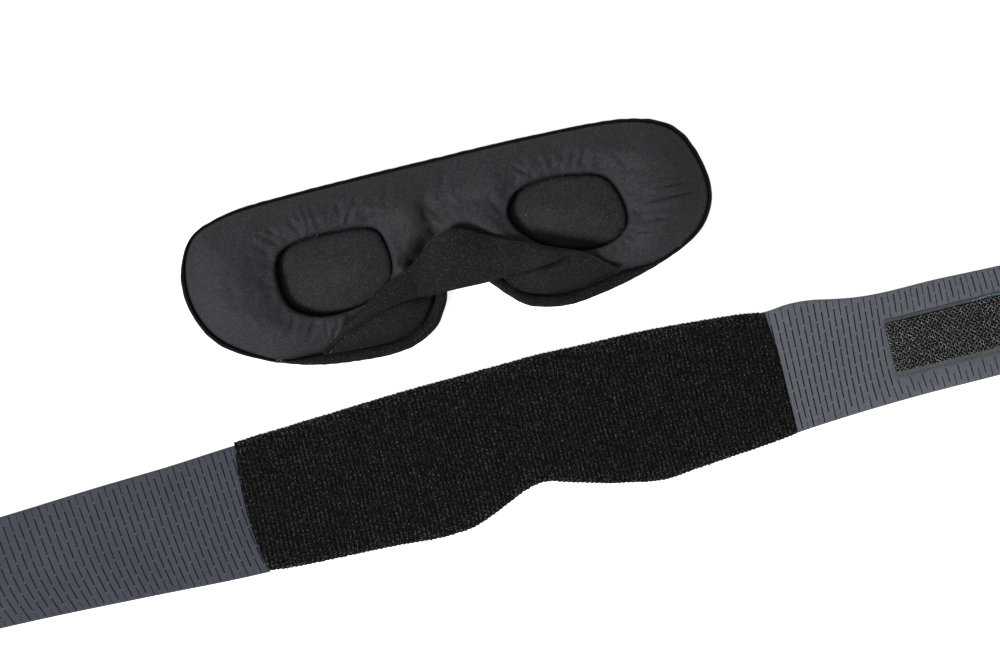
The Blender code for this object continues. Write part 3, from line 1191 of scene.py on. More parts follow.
    def pile(self, x: Array, y: Array, z: Array) -> None:
        """Loose loops of thread that stand along the ribs.

        Args:
            x: the cloth's face, as [row, column].
            y: the same for y.
            z: the same for z.
        """
        draw = random.Random(63)
        phase = self.rib_phase(x, y)
        places, turns, sizes = [], [], []
        for row in range(1, x.shape[0] - 1):
            for k in np.nonzero(np.diff(np.floor(phase[row])))[0]:
                if draw.random() < 0.5:
                    continue
                k = int(np.clip(k + draw.choice((-1, 0, 1)), 0, x.shape[1] - 1))
                places.append((x[row, k], y[row, k] + draw.uniform(-0.8, 0.8), z[row, k] - 0.02))
                tilt = draw.uniform(-0.9, 0.9), draw.uniform(-0.3, 0.3)
                turns.append((*tilt, math.pi / 2 + draw.uniform(-0.7, 0.7)))
                sizes.append(draw.uniform(0.6, 1.2))
        loops = Scatter(Bit.THREAD, 1.1, 0.13).build("loop_panel_pile", places, turns, Finish.LOOPS, sizes)
        settle(loops, "headband")

    def panel_loop(self, inset: float, spacing: float) -> Array:
        """The panel's outline, moved inwards.

        Args:
            inset: how far.
            spacing: the distance between samples.

        Returns:
            A clockwise loop.
        """
        x = np.linspace(-118.2, 117.0, 120)
        upper = np.stack([x, track(self.panel_high, x)], -1)
        lower = np.stack([x, track(self.panel_low, x)], -1)[::-1]
        loop = even(np.concatenate([upper, lower]), spacing, closed=True)
        return loop + inward(loop) * inset

    @staticmethod
    def slab(name: str, loop: Array, bottom: float, top: float, finish: Finish, soft: float = 0.3) -> Object:
        """A flat layer with softened edges.

        Args:
            name: the piece's name.
            loop: its clockwise outline.
            bottom: its lowest height.
            top: its highest.
            finish: its finish.
            soft: how far its edges are rounded.

        Returns:
            The piece.
        """
        inner = loop + inward(loop) * soft
        made, triangles, rings = Patch(inner, [], 0).mesh()
        ring = rings[0]
        count = len(loop)
        points = [at_height(made, z) for z in (bottom, top)]
        base = 2 * len(made)
        drop = min(soft, (top - bottom) / 2.01)
        points += [at_height(loop, z) for z in (bottom + drop, top - drop)]
        faces = [tuple(f) for f in triangles] + [tuple(i + len(made) for i in f) for f in triangles]
        levels = [ring, list(range(base, base + count)), list(range(base + count, base + 2 * count))]
        levels.append([i + len(made) for i in ring])
        return make_piece(name, np.concatenate(points), faces + walls(levels), finish.material())

    def layers(self) -> None:
        """The felt and backing cloth under the loop cloth, and the thread that holds them."""
        felt = self.slab("panel_interlining_felt", self.panel_loop(1.6, 2.0), *self.felt_span, Finish.FELT)
        settle(felt, "headband", ["panel_interlining"])
        back = self.slab("panel_backing_cloth", self.panel_loop(0.9, 2.0), *self.backing_span, Finish.BACKING, 0.5)
        settle(back, "headband", ["panel_backing"])
        line = at_height(self.panel_loop(3.6, 2.0), 0.05)
        settle(stitches("panel_edge_stitches", line, Finish.GREY_THREAD, closed=True), "headband")
        log.info("panel layers and their stitching")

    # straps

    def strap_face(self, run: StrapRun, x: Array, y: Array) -> Array:
        """The height of a strap's upper face, without its rounded edges.

        Args:
            run: the strap.
            x: positions along it.
            y: positions across it.

        Returns:
            A height for each position.
        """
        z = self.strap_thickness + 0.05 * ripple(x, y, 34.0, 8)
        if run.end > 0:
            x0, _, y0, y1 = self.patch
            beside = smoothstep(x0 - 8.0, x0 + 10.0, x)
            puffs = bell(y1 + 6.5, 4.6, y) + bell(y0 - 4.0, 3.6, y)
            z = z + 0.95 * beside * puffs
            z = z + 0.5 * bell(131.0, 9.0, x) * bell(24.0, 6.0, y)
        return z

    def strap(self, part: Length) -> None:
        """Makes a length of strap, with the marks woven into it and its edge thread.

        Args:
            part: the length.
        """
        near, far = part.ends
        band = self.band(part)
        settle(band, part.bend, [part.run.nodes[part.number]])
        self.weave(part)
        self.overlock(part)
        log.info("%s: %.0f mm of elastic", part.name, abs(far - near))

    def band(self, part: Length) -> Object:
        """Makes the elastic of a length of strap.

        Args:
            part: the length.

        Returns:
            The piece.
        """
        run, free_end = part.run, part.number == 1
        near, far = part.ends
        length = abs(far - near)
        along = np.linspace(0.0, 1.0, max(8, round(length / 1.4)))
        if free_end:
            along = 1 - (1 - along) ** 1.35
        x = near + (far - near) * along[None, :]
        edge = np.array([0.0, 0.12, 0.4, 0.85, 1.5])
        across = np.concatenate([edge, np.linspace(3.0, 49.0, 26), 52.0 - edge[::-1]]) / 52.0
        t = across[:, None]
        low, high = track(run.low, x), track(run.high, x)
        if free_end:
            corner = self.end_corner
            into = np.clip(corner - abs(run.end - x), 0.0, corner)
            trim = corner - np.sqrt(corner**2 - into**2)
            low, high = low + trim, high - trim
        y = low + (high - low) * t
        x = x + 0 * t
        from_edge = np.minimum(y - low, high - y)
        round_off = rounded(from_edge, 1.2)
        if free_end:
            round_off = np.minimum(round_off, rounded(abs(run.end - x), 1.2))
        face = self.strap_face(run, x, y)
        middle = self.strap_thickness / 2
        z_top = middle + 0.08 + (face - middle - 0.08) * round_off
        z_low = (middle - 0.08) * (1 - round_off)
        z_low = z_low + (1.6 - z_low) * smoothstep(118.9, 118.2, np.abs(x))
        if run.end < 0:
            x0, x1, y0, y1 = self.loop_tape
            hollow = smoothstep(x0 - 1.2, x0 - 0.2, x) * smoothstep(x1 + 1.2, x1 + 0.2, x)
            hollow = hollow * smoothstep(y0 - 1.2, y0 - 0.2, y) * smoothstep(y1 + 1.2, y1 + 0.2, y)
            z_low = z_low + 0.8 * hollow
        points, faces = double_skin(np.stack([x, y, z_top], -1), np.stack([x, y, z_low], -1))
        return make_piece(part.name, points, faces, run.finish.material())

    def overlock(self, part: Length) -> None:
        """Adds the thread that binds both edges of a length of strap.

        Args:
            part: the length.
        """
        run = part.run
        near, far = part.ends
        if part.number == 0:
            near += math.copysign(3.5, near)
        else:
            far -= math.copysign(10.0, far)
        x = np.linspace(near, far, 60)
        sides = (("low", run.low, 0.3, Finish.EDGE_THREAD), ("high", run.high, -0.35, Finish.GREY_THREAD))
        for side, edge, inset, finish in sides:
            line = at_height(np.column_stack([x, track(edge, x) + inset]), 1.75)
            part.bend.apply(stitches(f"{part.name}_{side}_edge", line, finish, 1.5))

    def weave(self, part: Length) -> None:
        """Sets dark dashes brick-fashion in columns across a length of strap, and pale dots between them.

        Args:
            part: the length.
        """
        run = part.run
        near, far = part.ends
        pitch = self.dash_length + self.dash_gap
        side = 1.0 if run.end > 0 else -1.0
        step = self.column_pitch[run.end > 0]
        growth = self.pitch_growth * (run.end < 0)
        dashes, dots = [], []
        out = self.first_column
        for column in range(90):
            out += step + growth * max(out - 120.0, 0.0)
            base = side * out
            if not min(near, far) - 12 < base < max(near, far) + 12:
                continue
            for row in range(-5, 6):
                y = (row + 0.5 * (column % 2)) * pitch
                dashes.append((base, y))
                dots.append((base, y + pitch / 2))
        for spots, dash in ((dashes, True), (dots, False)):
            for is_top in (True, False):
                self.weave_side(part, spots, dash, is_top)

    def weave_side(self, part: Length, spots: list[Point], dash: bool, is_top: bool) -> None:
        """Sets one kind of mark on one face of a length of strap.

        Args:
            part: the length.
            spots: the marks' places before the columns lean.
            dash: whether the marks are dashes, not dots.
            is_top: whether they lie on the upper face.
        """
        run = part.run
        name = part.name + ("_dashes" if dash else "_dots") + ("" if is_top else "_under")
        x, y = np.array(spots).T
        lean = track(run.lean_high, x)
        curl = (lean - track(run.lean_low, x)) / self.half_width
        below = np.minimum(y, 0.0)
        x, lean = x + lean * y + curl * below**2, lean + 2 * curl * below
        low, high = track(run.low, x), track(run.high, x)
        margin = 0.7 if dash else 1.2
        half = self.dash_length / 2 if dash else 0.0
        top, bottom = np.minimum(y + half, high - margin), np.maximum(y - half, low + margin)
        shortest = 1.4 if dash else -0.001
        kept = (x > min(part.ends)) & (x <= max(part.ends)) & (top - bottom > shortest)
        kept &= abs(x - run.end) > 3.0
        if is_top and run.end > 0:
            x0, x1, y0, y1 = self.patch
            over = (x > x0 - 0.4) & (x < x1 + 0.4) & (bottom < y1 + 0.5) & (top > y0 - 0.5)
            top = np.where(over & (y < y0), np.minimum(top, y0 - 0.6), top)
            bottom = np.where(over & (y > y1), np.maximum(bottom, y1 + 0.6), bottom)
            kept &= ~(over & (y >= y0) & (y <= y1)) & (top - bottom > shortest)
        if not is_top and run.end < 0:
            x0, x1, y0, y1 = self.loop_tape
            kept &= ~((x > x0 - 1) & (x < x1 + 1) & (top > y0 - 1) & (bottom < y1 + 1))
        x, y, lean, top, bottom = x[kept], y[kept], lean[kept], top[kept], bottom[kept]
        parts = 4 if dash else 1
        places, turns, sizes = [], [], []
        for step in range(parts):
            ends = [bottom + (top - bottom) * (step + k) / parts for k in (0, 1)]
            at_y = (ends[0] + ends[1]) / 2
            at_x = x + lean * (at_y - y)
            heights = [self.strap_face(run, at_x, end) if is_top else np.zeros(len(x)) for end in ends]
            slope = np.arctan((heights[1] - heights[0]) / np.maximum(ends[1] - ends[0], 0.2))
            lift = 0.03 if is_top else -0.03
            places.append(np.column_stack([at_x, at_y, (heights[0] + heights[1]) / 2 + lift]))
            turns.append(np.column_stack([0 * x, -slope, math.pi / 2 - np.arctan(lean)]))
            sizes.append((ends[1] - ends[0]) / (self.dash_length / parts) * 1.04 if dash else 1 + 0 * x)
        bit = Scatter(Bit.BAR, self.dash_length / parts, 0.45) if dash else Scatter(Bit.BEAD, 0.0, 0.26)
        finish = Finish.DARK_THREAD if dash else Finish.PALE_THREAD
        made = bit.build(name, np.concatenate(places), np.concatenate(turns), finish, np.concatenate(sizes))
        part.bend.apply(made)

    # hook and loop patches

    @staticmethod
    def oblong(box: Box, corner: float, spacing: float = 1.5) -> Array:
        """A clockwise rectangle with rounded corners.

        Args:
            box: its limits as x from, x to, y from, y to.
            corner: the corners' radius.
            spacing: the distance between samples.

        Returns:
            The loop.
        """
        x0, x1, y0, y1 = box
        path = []
        for cx, cy, start in ((x0, y1, 180), (x1, y1, 90), (x1, y0, 0), (x0, y0, -90)):
            mx = cx + corner * (1 if cx == x0 else -1)
            my = cy + corner * (1 if cy == y0 else -1)
            for step in range(7):
                angle = math.radians(start - 15 * step)
                path.append((mx + corner * math.cos(angle), my + corner * math.sin(angle)))
        return even(np.array(path), spacing, closed=True)

    def hook_patch(self) -> None:
        """The tape on the right strap, its nylon hooks, its stitching and its blue thread."""
        tape = self.slab("hook_tape_base", self.oblong(self.patch, 1.2), *self.tape_span, Finish.TAPE, 0.25)
        settle(tape, "strap_tab", ["hook_tape"])
        bed = self.slab("hook_bed", self.oblong(self.field_box, 0.5), *self.bed_span, Finish.BLACK_THREAD, 0.15)
        settle(bed, "strap_tab")
        hooks = hook_field("hook_patch_hooks", self.field_box, 3.5, self.hook_pitch, self.hook_height, up=True)
        settle(hooks, "strap_tab", ["hook_field"])
        x0, x1, y0, y1 = self.patch
        line = at_height(self.oblong((x0 + 0.7, x1 - 0.7, y0 + 0.8, y1 - 0.8), 0.8, 1.0), 3.28)
        settle(stitches("hook_patch_stitches", line, Finish.GREY_THREAD, 1.9, closed=True), "strap_tab")
        x = np.linspace(205.0, 223.0, 40)
        rise = bell(213.0, 4.0, x)
        arch = np.column_stack([x, 10.2 + 0.8 * rise + 0.15 * np.sin(x * 2.1), 3.6 + 0.3 * rise])
        settle(stitches("blue_thread", arch, Finish.BLUE_THREAD, 1.5), "strap_tab")
        log.info("hook patch")

    def underside_tape(self) -> None:
        """The loop tape under the left strap's end, which the hooks grip."""
        tape = self.slab("loop_tape_pile", self.oblong(self.loop_tape, 2.0), 0.03, 0.78, Finish.LOOP_TAPE, 0.3)
        settle(tape, "strap_left_tip", ["loop_tape"])
        line = at_height(self.oblong(shrunk(self.loop_tape, 1.2), 1.5), 0.08)
        settle(stitches("loop_tape_stitches", line, Finish.GREY_THREAD, closed=True), "strap_left_tip")
        log.info("loop tape")


def shrunk(box: Box, inset: float) -> Box:
    """A box moved in by the same amount on every side."""
    return box[0] + inset, box[1] - inset, box[2] + inset, box[3] - inset


def hook_field(name: str, box: Box, z: float, pitch: float, height: float, up: bool) -> Object:
    """A field of nylon hooks, each row leaning the other way from the last.

    Args:
        name: the piece's name.
        box: its limits as x from, x to, y from, y to.
        z: the height that the hooks stand on.
        pitch: the distance between hooks.
        height: the hooks' height.
        up: whether they stand up rather than hang down.

    Returns:
        The hooks as one object.
    """
    draw = random.Random(29)
    flip = 0.0 if up else math.pi
    x0, x1, y0, y1 = box
    places, turns, sizes = [], [], []
    for i, y in enumerate(np.arange(y0 + pitch / 2, y1 - pitch / 3, pitch)):
        for k, x in enumerate(np.arange(x0 + pitch / 2, x1 - pitch / 3, pitch)):
            side = 1 if (i + k) % 2 else -1
            places.append((x + draw.uniform(-0.14, 0.14), y + draw.uniform(-0.14, 0.14), z + (0.3 if up else -0.3)))
            turns.append((flip + draw.uniform(-0.35, 0.35), 0.0, side * 0.8 + draw.uniform(-0.35, 0.35)))
            sizes.append(draw.uniform(0.85, 1.12))
    return Scatter(Bit.HOOK, height, 0.14 * height).build(name, places, turns, Finish.HOOKS, sizes)


# ---- mask


@dataclass(frozen=True)
class Crease:
    """A short valley in the satin.

    Attributes:
        start: one end.
        end: the other.
        depth: how deep it is.
        width: about how wide.
    """

    start: Point
    end: Point
    depth: float = 0.5
    width: float = 0.9

    def press(self, x: Array, y: Array) -> Array:
        """The crease's shape, a valley with a low ridge each side.

        Args:
            x: positions.
            y: positions.

        Returns:
            The height that it adds at each position.
        """
        a, run = np.array(self.start), np.array(self.end) - np.array(self.start)
        t = ((x - a[0]) * run[0] + (y - a[1]) * run[1]) / (run @ run)
        clipped = np.clip(t, 0.0, 1.0)
        gap = np.hypot(x - a[0] - clipped * run[0], y - a[1] - clipped * run[1])
        taper = np.sqrt(np.clip(4 * clipped * (1 - clipped), 0.0, 1.0))
        valley = np.exp(-((gap / self.width) ** 2))
        ridge = 0.45 * np.exp(-(((gap - 2.1 * self.width) / self.width) ** 2))
        return self.depth * taper * (ridge - valley)


@dataclass
class Mask:
    """The padded mask: cushion, eye pads, binding, cheek bands, back and hook tabs."""

    centre: Point = (-9.0, 87.0)
    outline: list[Point] = field(default_factory=lambda: [
        (-72, 38.8), (0, 39.1), (62, 37.9), (92, 34.8), (108, 27), (115.6, 11), (116.2, -6), (107, -19.5),
        (84, -29.6), (58, -35.2), (42, -36), (27, -31.5), (16.2, -20.8), (9.5, -13.6), (3, -11.7), (-2.5, -14),
        (-6.4, -23.4), (-13.4, -32.4), (-27, -38), (-48, -37.8), (-70, -34.3), (-90, -26.8), (-106, -15.8),
        (-114, 0), (-114, 17), (-106, 31.3), (-92, 36.9),
    ])
    eye_left: list[Point] = field(default_factory=lambda: [
        (-74.4, 4), (-72, -8), (-62, -15), (-48, -16.2), (-35, -13.4), (-25.6, -6), (-24, 6), (-28, 16.2),
        (-44, 19.2), (-62, 18.8), (-71.6, 14.4),
    ])
    eye_right: list[Point] = field(default_factory=lambda: [
        (28.6, 8), (34, 16.2), (47, 19.4), (62, 18), (73.6, 14), (78.6, 4), (79, -7), (73, -13.4), (60, -15.8),
        (44, -11), (32.4, -1.6),
    ])
    spacing: float = 0.9
    base: float = 3.3
    seam: float = 4.2
    crown: float = 9.8
    well_rim: float = 0.6
    bridge_dip: float = 2.6
    edge_roll: float = 13.0
    well_roll: float = 9.0
    well_floor: float = 3.9
    hollows: list[list[Point]] = field(default_factory=lambda: [
        [(-45, -20.5), (-38, -17.9), (-30, -16.0), (-21, -14.8), (-10, -15.0)],
        [(18, -15.2), (33, -14.7), (42, -14.2), (49, -13.0)],
        [(-14.8, -2.2), (-12.0, -0.1), (-7.8, 3.5), (-3.6, 6.2)],
    ])
    hollow_depth: float = 5.6
    hollow_width: float = 3.3
    pocket: Point = (42.5, -16.0)
    pocket_depth: float = 2.8
    back_height: float = 1.45
    back_roll: float = 1.15
    back_top: float = 3.15
    tab_span: Point = (0.7, 1.4)
    halves_meet: float = -4.0
    swell_grain: float = 2.4
    swell_limit: float = 1.6
    slack: float = 0.05
    left: Bend = Bend("mask", "wing_left", -84.5, -108.0)
    right: Bend = Bend("mask", "wing_right", 71.5, 97.0)

    def __post_init__(self) -> None:
        """Works out the loops that the pieces share."""
        self.outer = clockwise(smooth_loop(self.outline, 1.0))
        self.wells = [clockwise(smooth_loop(p, self.spacing)) for p in (self.eye_left, self.eye_right)]
        self.rim = self.shrink(self.outer, 0.15)

    @property
    def halves(self) -> tuple[tuple[str, int, Bend], ...]:
        """For each half of the mask, its name, its side and the bend that it crosses."""
        return ("left", -1, self.left), ("right", 1, self.right)

    def build(self) -> None:
        """Makes every piece of the mask."""
        self.cushion()
        for side, well in zip(("left", "right"), self.wells):
            self.eye_pad(side, well)
        self.edging()
        self.back()
        self.tabs()

    def place(self, x: Array, y: Array, z: Array) -> Array:
        """Puts points of the mask into the frame that all pieces share."""
        return np.stack([x + self.centre[0], y + self.centre[1], z + 0 * x], -1)

    def edge_width(self, loop: Array) -> Array:
        """How wide the binding or cheek band is along the mask's edge.

        Args:
            loop: points of the edge, as rows of x and y.

        Returns:
            A width for each point.
        """
        x, y = loop.T
        plain = 0.9 + 0.5 * smoothstep(85.0, 112.0, x)
        plain = plain + 1.3 * smoothstep(-80.0, -105.0, x) * smoothstep(34.0, 10.0, y)
        return plain + (6.1 - plain) * self.cheek(loop)

    def cheek(self, loop: Array) -> Array:
        """How far each point of the edge belongs to a cheek lobe, from 0 to 1."""
        x, y = loop.T
        return smoothstep(-86.0, -60.0, x) * smoothstep(92.0, 68.0, x) * smoothstep(-4.0, -12.0, y)

    def shrink(self, loop: Array, extra: float) -> Array:
        """The mask's edge moved in by the binding's width and a little more."""
        return even(loop + inward(loop) * (self.edge_width(loop) + extra)[:, None], self.spacing, closed=True)

    def support(self, x: Array, y: Array, hollowed: bool = True) -> Array:
        """The height of the cushion as if it had no eye wells.

        Args:
            x: positions.
            y: positions.
            hollowed: whether it has its hollows under the flap.

        Returns:
            A height for each position.
        """
        flat = np.column_stack([np.ravel(x), np.ravel(y)])
        reach = distance_to(self.rim, flat) * np.where(inside(self.rim, flat), 1.0, 0.0)
        reach = reach.reshape(np.shape(x))
        roll = 0.55 * rounded(reach, self.edge_roll) + 0.45 * smoothstep(0.0, 17.0, reach)
        height = self.crown - self.bridge_dip * bell(1.0, 17.0, x) - 1.6 * smoothstep(88.0, 112.0, np.abs(x))
        z = self.seam + height * roll
        if hollowed:
            gap = np.min([distance_to(np.array(h, float), flat, closed=False) for h in self.hollows], axis=0)
            hollow = bell(0.0, self.hollow_width, gap).reshape(np.shape(x))
            z = z - self.hollow_depth * hollow * smoothstep(4.5, 8.0, z)
            z = z - self.pocket_depth * bell(self.pocket[0], 5.5, x) * bell(self.pocket[1], 2.2, y)
        return z

    def face(self, x: Array, y: Array) -> Array:
        """The height of the cushion's satin face.

        Args:
            x: positions.
            y: positions.

        Returns:
            A height for each position.
        """
        flat = np.column_stack([x, y])
        reach = np.minimum(distance_to(self.wells[0], flat), distance_to(self.wells[1], flat))
        rise = 0.5 * rounded(reach, self.well_roll) + 0.5 * smoothstep(0.0, 16.0, reach)
        roll = self.well_rim + (1 - self.well_rim) * rise
        z = self.seam + (self.support(x, y) - self.seam) * roll
        from_rim = distance_to(self.rim, flat)
        z = z + 0.45 * bell(1.4, 0.9, from_rim)
        fade = smoothstep(0.0, 5.0, from_rim)
        z = z + fade * (0.28 * ripple(x, y, 26.0, 4) + 0.07 * ripple(x, y, 5.0, 9))
        # a shallow groove down the bridge, and the dent beside the flap's free edge
        z = z - 0.5 * bell(-4.0, 4.2, x) * smoothstep(3.0, 12.0, y) * smoothstep(30.0, 20.0, y)
        z = z - 2.6 * bell(-9.0, 4.2, x) * bell(3.2, 4.2, y)
        for crease in self.creases():
            z = z + fade * crease.press(x, y)
        return z

    def creases(self) -> list[Crease]:
        """Lists the creases at the right temple and the gathers round both eye wells.

        Returns:
            The creases.
        """
        draw = random.Random(41)
        made = [
            Crease((84, -1.5), (112, -2.2), 1.0, 0.62),
            Crease((91, 3.4), (109, 2.3), 0.9, 0.6),
            Crease((84, -8.8), (97, -10.6), 0.8, 0.6),
            Crease((79.5, -12.8), (89, -14.2), 0.7, 0.6),
            Crease((85, 6.5), (97, 8.2), 0.4, 0.9),
            Crease((86, -5.2), (99, -6.4), 0.35, 0.8),
            Crease((-52, -19.5), (-60, -31), 0.8, 0.9),
            Crease((-47.5, -18.5), (-54.5, -27), 0.9, 0.8),
            Crease((-43, -18), (-49.5, -25), 0.7, 0.8),
            Crease((3, 21), (7, 34), 0.35, 1.6),
            Crease((-22, 22), (-18, 33), 0.3, 1.4),
        ]
        fans = (
            (0, (-49.0, 2.0), 60, 152, 13, 10.5, 0.5), (0, (-49.0, 2.0), 212, 262, 8, 7.5, 0.5),
            (1, (54.0, 1.5), 55, 125, 12, 9.0, 0.36), (1, (54.0, 1.5), -40, 40, 8, 7.0, 0.35),
        )
        for eye, middle, low, high, count, length, depth in fans:
            for k in range(count):
                angle = math.radians(low + (high - low) * (k + draw.uniform(0.1, 0.9)) / count)
                out = np.array([math.cos(angle), math.sin(angle)])
                start = np.array(middle) + out * (self.reach_of_well(eye, middle, angle) + draw.uniform(0.8, 2.6))
                lean = np.array([-out[1], out[0]]) * draw.uniform(-0.3, 0.3)
                end = start + (out + lean) * length * draw.uniform(0.5, 1.3)
                sunk = depth * draw.uniform(0.5, 1.4)
                made.append(Crease(tuple(start), tuple(end), sunk, draw.uniform(0.65, 1.15)))
        return made

    def reach_of_well(self, eye: int, middle: Point, angle: float) -> float:
        """How far an eye well's edge is from its middle, at an angle.

        Args:
            eye: 0 for the left well, 1 for the right.
            middle: the well's middle.
            angle: the direction to look in.

        Returns:
            The distance.
        """
        away = self.wells[eye] - np.array(middle)
        turn = np.angle(np.exp(1j * (np.arctan2(away[:, 1], away[:, 0]) - angle)))
        return float(np.linalg.norm(away[np.argmin(np.abs(turn))]))

    def puff(self, at: Array) -> Array:
        """How far the satin moves when its filling swells between its seams, by cloth simulation.

        Args:
            at: rows of x and y on the face.

        Returns:
            A move in x, y and z for each row, none of it longer than the limit.
        """
        rim = even(self.rim, self.swell_grain, closed=True)
        wells = [even(well, self.swell_grain, closed=True) for well in self.wells]
        flat, triangles, rings = Patch(rim, wells, self.swell_grain).mesh()
        start = self.place(flat[:, 0], flat[:, 1], self.face(*flat.T))
        piece = make_piece("face_cushion_swelling", start, triangles, Finish.SATIN.material())
        group = piece.vertex_groups.new(name="sewn")
        group.add([i for ring in rings for i in ring], 1.0, "REPLACE")
        cloth = piece.modifiers.new("Swelling", "CLOTH")
        settings = cloth.settings
        settings.quality = 6
        settings.mass = 0.2
        settings.tension_stiffness = settings.compression_stiffness = 12.0
        settings.shear_stiffness = 4.0
        settings.bending_stiffness = 0.02
        settings.use_pressure = True
        settings.uniform_pressure_force = 4.0
        settings.shrink_min = -self.slack
        settings.effector_weights.gravity = 0.0
        settings.vertex_group_mass = "sewn"
        cloth.collision_settings.use_collision = False
        scene = bpy.context.scene
        for frame_number in range(1, 21):
            scene.frame_set(frame_number)
        swollen = piece.evaluated_get(bpy.context.evaluated_depsgraph_get()).to_mesh()
        moved = np.zeros(len(swollen.vertices) * 3)
        swollen.vertices.foreach_get("co", moved)
        moved = moved.reshape(-1, 3) / MM - start
        scene.frame_set(1)
        piece.modifiers.clear()
        bpy.data.objects.remove(piece)
        length = np.linalg.norm(moved, axis=1)
        moved *= np.minimum(1.0, self.swell_limit / np.maximum(length, 1e-9))[:, None]
        log.info("cushion swelled by up to %.1f mm", length.max())
        spread = np.zeros((len(at), 3))
        weight = np.full(len(at), 1e-9)
        for spot, move in zip(flat, moved):
            near = np.exp(-((at - spot) ** 2).sum(axis=1) / (0.55 * self.swell_grain) ** 2)
            spread += near[:, None] * move
            weight += near
        return spread * (self.looseness(at) / weight)[:, None]

    def looseness(self, at: Array) -> Array:
        """How freely the satin moves: little at the outer edge, and not at all under the flap.

        Args:
            at: rows of x and y on the face.

        Returns:
            A share from 0 to 1 for each row.
        """
        x, y = at.T
        free = 0.3 + 0.7 * smoothstep(14.0, 3.0, np.minimum(*(distance_to(well, at) for well in self.wells)))
        free = np.maximum(free, bell(-2.0, 18.0, x) * bell(16.0, 10.0, y))
        free = free * smoothstep(2.0, 13.0, distance_to(self.rim, at))
        lobes = (bell(-30.0, 20.0, x) + bell(40.0, 20.0, x) + bell(4.0, 18.0, x)) * smoothstep(-8.0, -16.0, y)
        return free * (1 - np.clip(1.6 * lobes, 0.0, 1.0))

    def cushion(self) -> None:
        """The satin cushion, as two halves that meet at the bridge."""
        made, triangles, rings = Patch(self.rim, self.wells, self.spacing).mesh()
        x, y = made.T
        points = [np.column_stack([made, self.face(x, y)]) + self.puff(made)]
        faces = [tuple(f) for f in triangles]
        below, under, low_rings = Patch(self.rim, self.wells, 0).mesh()
        start = len(made)
        points.append(at_height(below, self.base))
        faces += [tuple(i + start for i in f) for f in under]
        total = start + len(below)
        for number, (ring, low_ring) in enumerate(zip(rings, low_rings)):
            loop = made[ring]
            away = inward(loop)
            levels = [list(ring)]
            steps = (0.33, 0.66) if number == 0 else (0.2, 0.45, 0.7, 0.9)
            for share in steps:
                z = points[0][ring, 2] * (1 - share) + self.base * share
                bulge = 0.25 * math.sin(math.pi * share) * (-1 if number == 0 else 1)
                points.append(np.column_stack([loop + away * bulge, z]))
                levels.append(list(range(total, total + len(ring))))
                total += len(ring)
            levels.append([i + start for i in low_ring])
            faces += walls(levels)
        whole = self.place(*np.concatenate(points).T)
        cushion = make_piece("face_cushion", whole, faces, Finish.SATIN.material())
        for end, side, bend in self.halves:
            half = self.half_of(cushion, "face_cushion_" + end, side)
            wing = bend.moving
            settle(half, bend, ["foam", "face_cover", "foam_" + wing, "face_cover_" + wing])
        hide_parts("eye_well_left", "eye_well_right")
        bpy.data.objects.remove(cushion)
        log.info("face cushion: %d creases", len(self.creases()))

    def half_of(self, whole: Object, name: str, side: int) -> Object:
        """Cuts a closed mesh at the bridge and closes the cut.

        Args:
            whole: the mesh to cut, which is left as it is.
            name: the new piece's name.
            side: -1 for the left half, 1 for the right.

        Returns:
            The half, as a new object.
        """
        build = bmesh.new()
        build.from_mesh(whole.data)
        plane = ((self.halves_meet + self.centre[0]) * MM, 0, 0)
        geometry = build.verts[:] + build.edges[:] + build.faces[:]
        cut = bmesh.ops.bisect_plane(build, geom=geometry, plane_co=plane, plane_no=(-side, 0, 0), clear_outer=True)
        edges = [e for e in cut["geom_cut"] if isinstance(e, bmesh.types.BMEdge)]
        bmesh.ops.edgeloop_fill(build, edges=edges)
        bmesh.ops.recalc_face_normals(build, faces=build.faces)
        mesh = bpy.data.meshes.new(name)
        build.to_mesh(mesh)
        build.free()
        mesh.materials.append(whole.data.materials[0])
        mesh.shade_smooth()
        mesh.set_sharp_from_angle(angle=SHARP)
        return add_object(name, mesh)

    def eye_pad(self, side: str, well: Array) -> None:
        """A domed pad on the floor of an eye well.

        Args:
            side: which eye.
            well: the well's loop.
        """
        loop = well + inward(well) * 0.8

        def dome(at: Array) -> Array:
            """The height of the pad's face at rows of x and y."""
            crown = 1.2 * rounded(distance_to(loop, at), 4.0) + 2.8 * smoothstep(0.0, 17.0, distance_to(loop, at))
            return self.well_floor - 0.5 + crown + 0.1 * ripple(*at.T, 9.0, 6)

        points, faces = pillow(loop, 1.3, dome, self.base)
        pad = make_piece("eye_pad_" + side, self.place(*points.T), faces, Finish.JERSEY.material())
        settle(pad, "mask", ["eye_floor_" + side])
        log.info("eye pad %s", side)

    # edges

    def stretch_of_edge(self, start: Point, end: Point) -> Array:
        """The mask's edge from one point to another, clockwise.

        Args:
            start: a point near its start.
            end: a point near its end.

        Returns:
            The points of that stretch, as rows of x and y.
        """
        first, last = (int(np.argmin(np.hypot(*(self.outer - np.array(p)).T))) for p in (start, end))
        if last <= first:
            last += len(self.outer)
        return self.outer[np.arange(first, last + 1) % len(self.outer)]

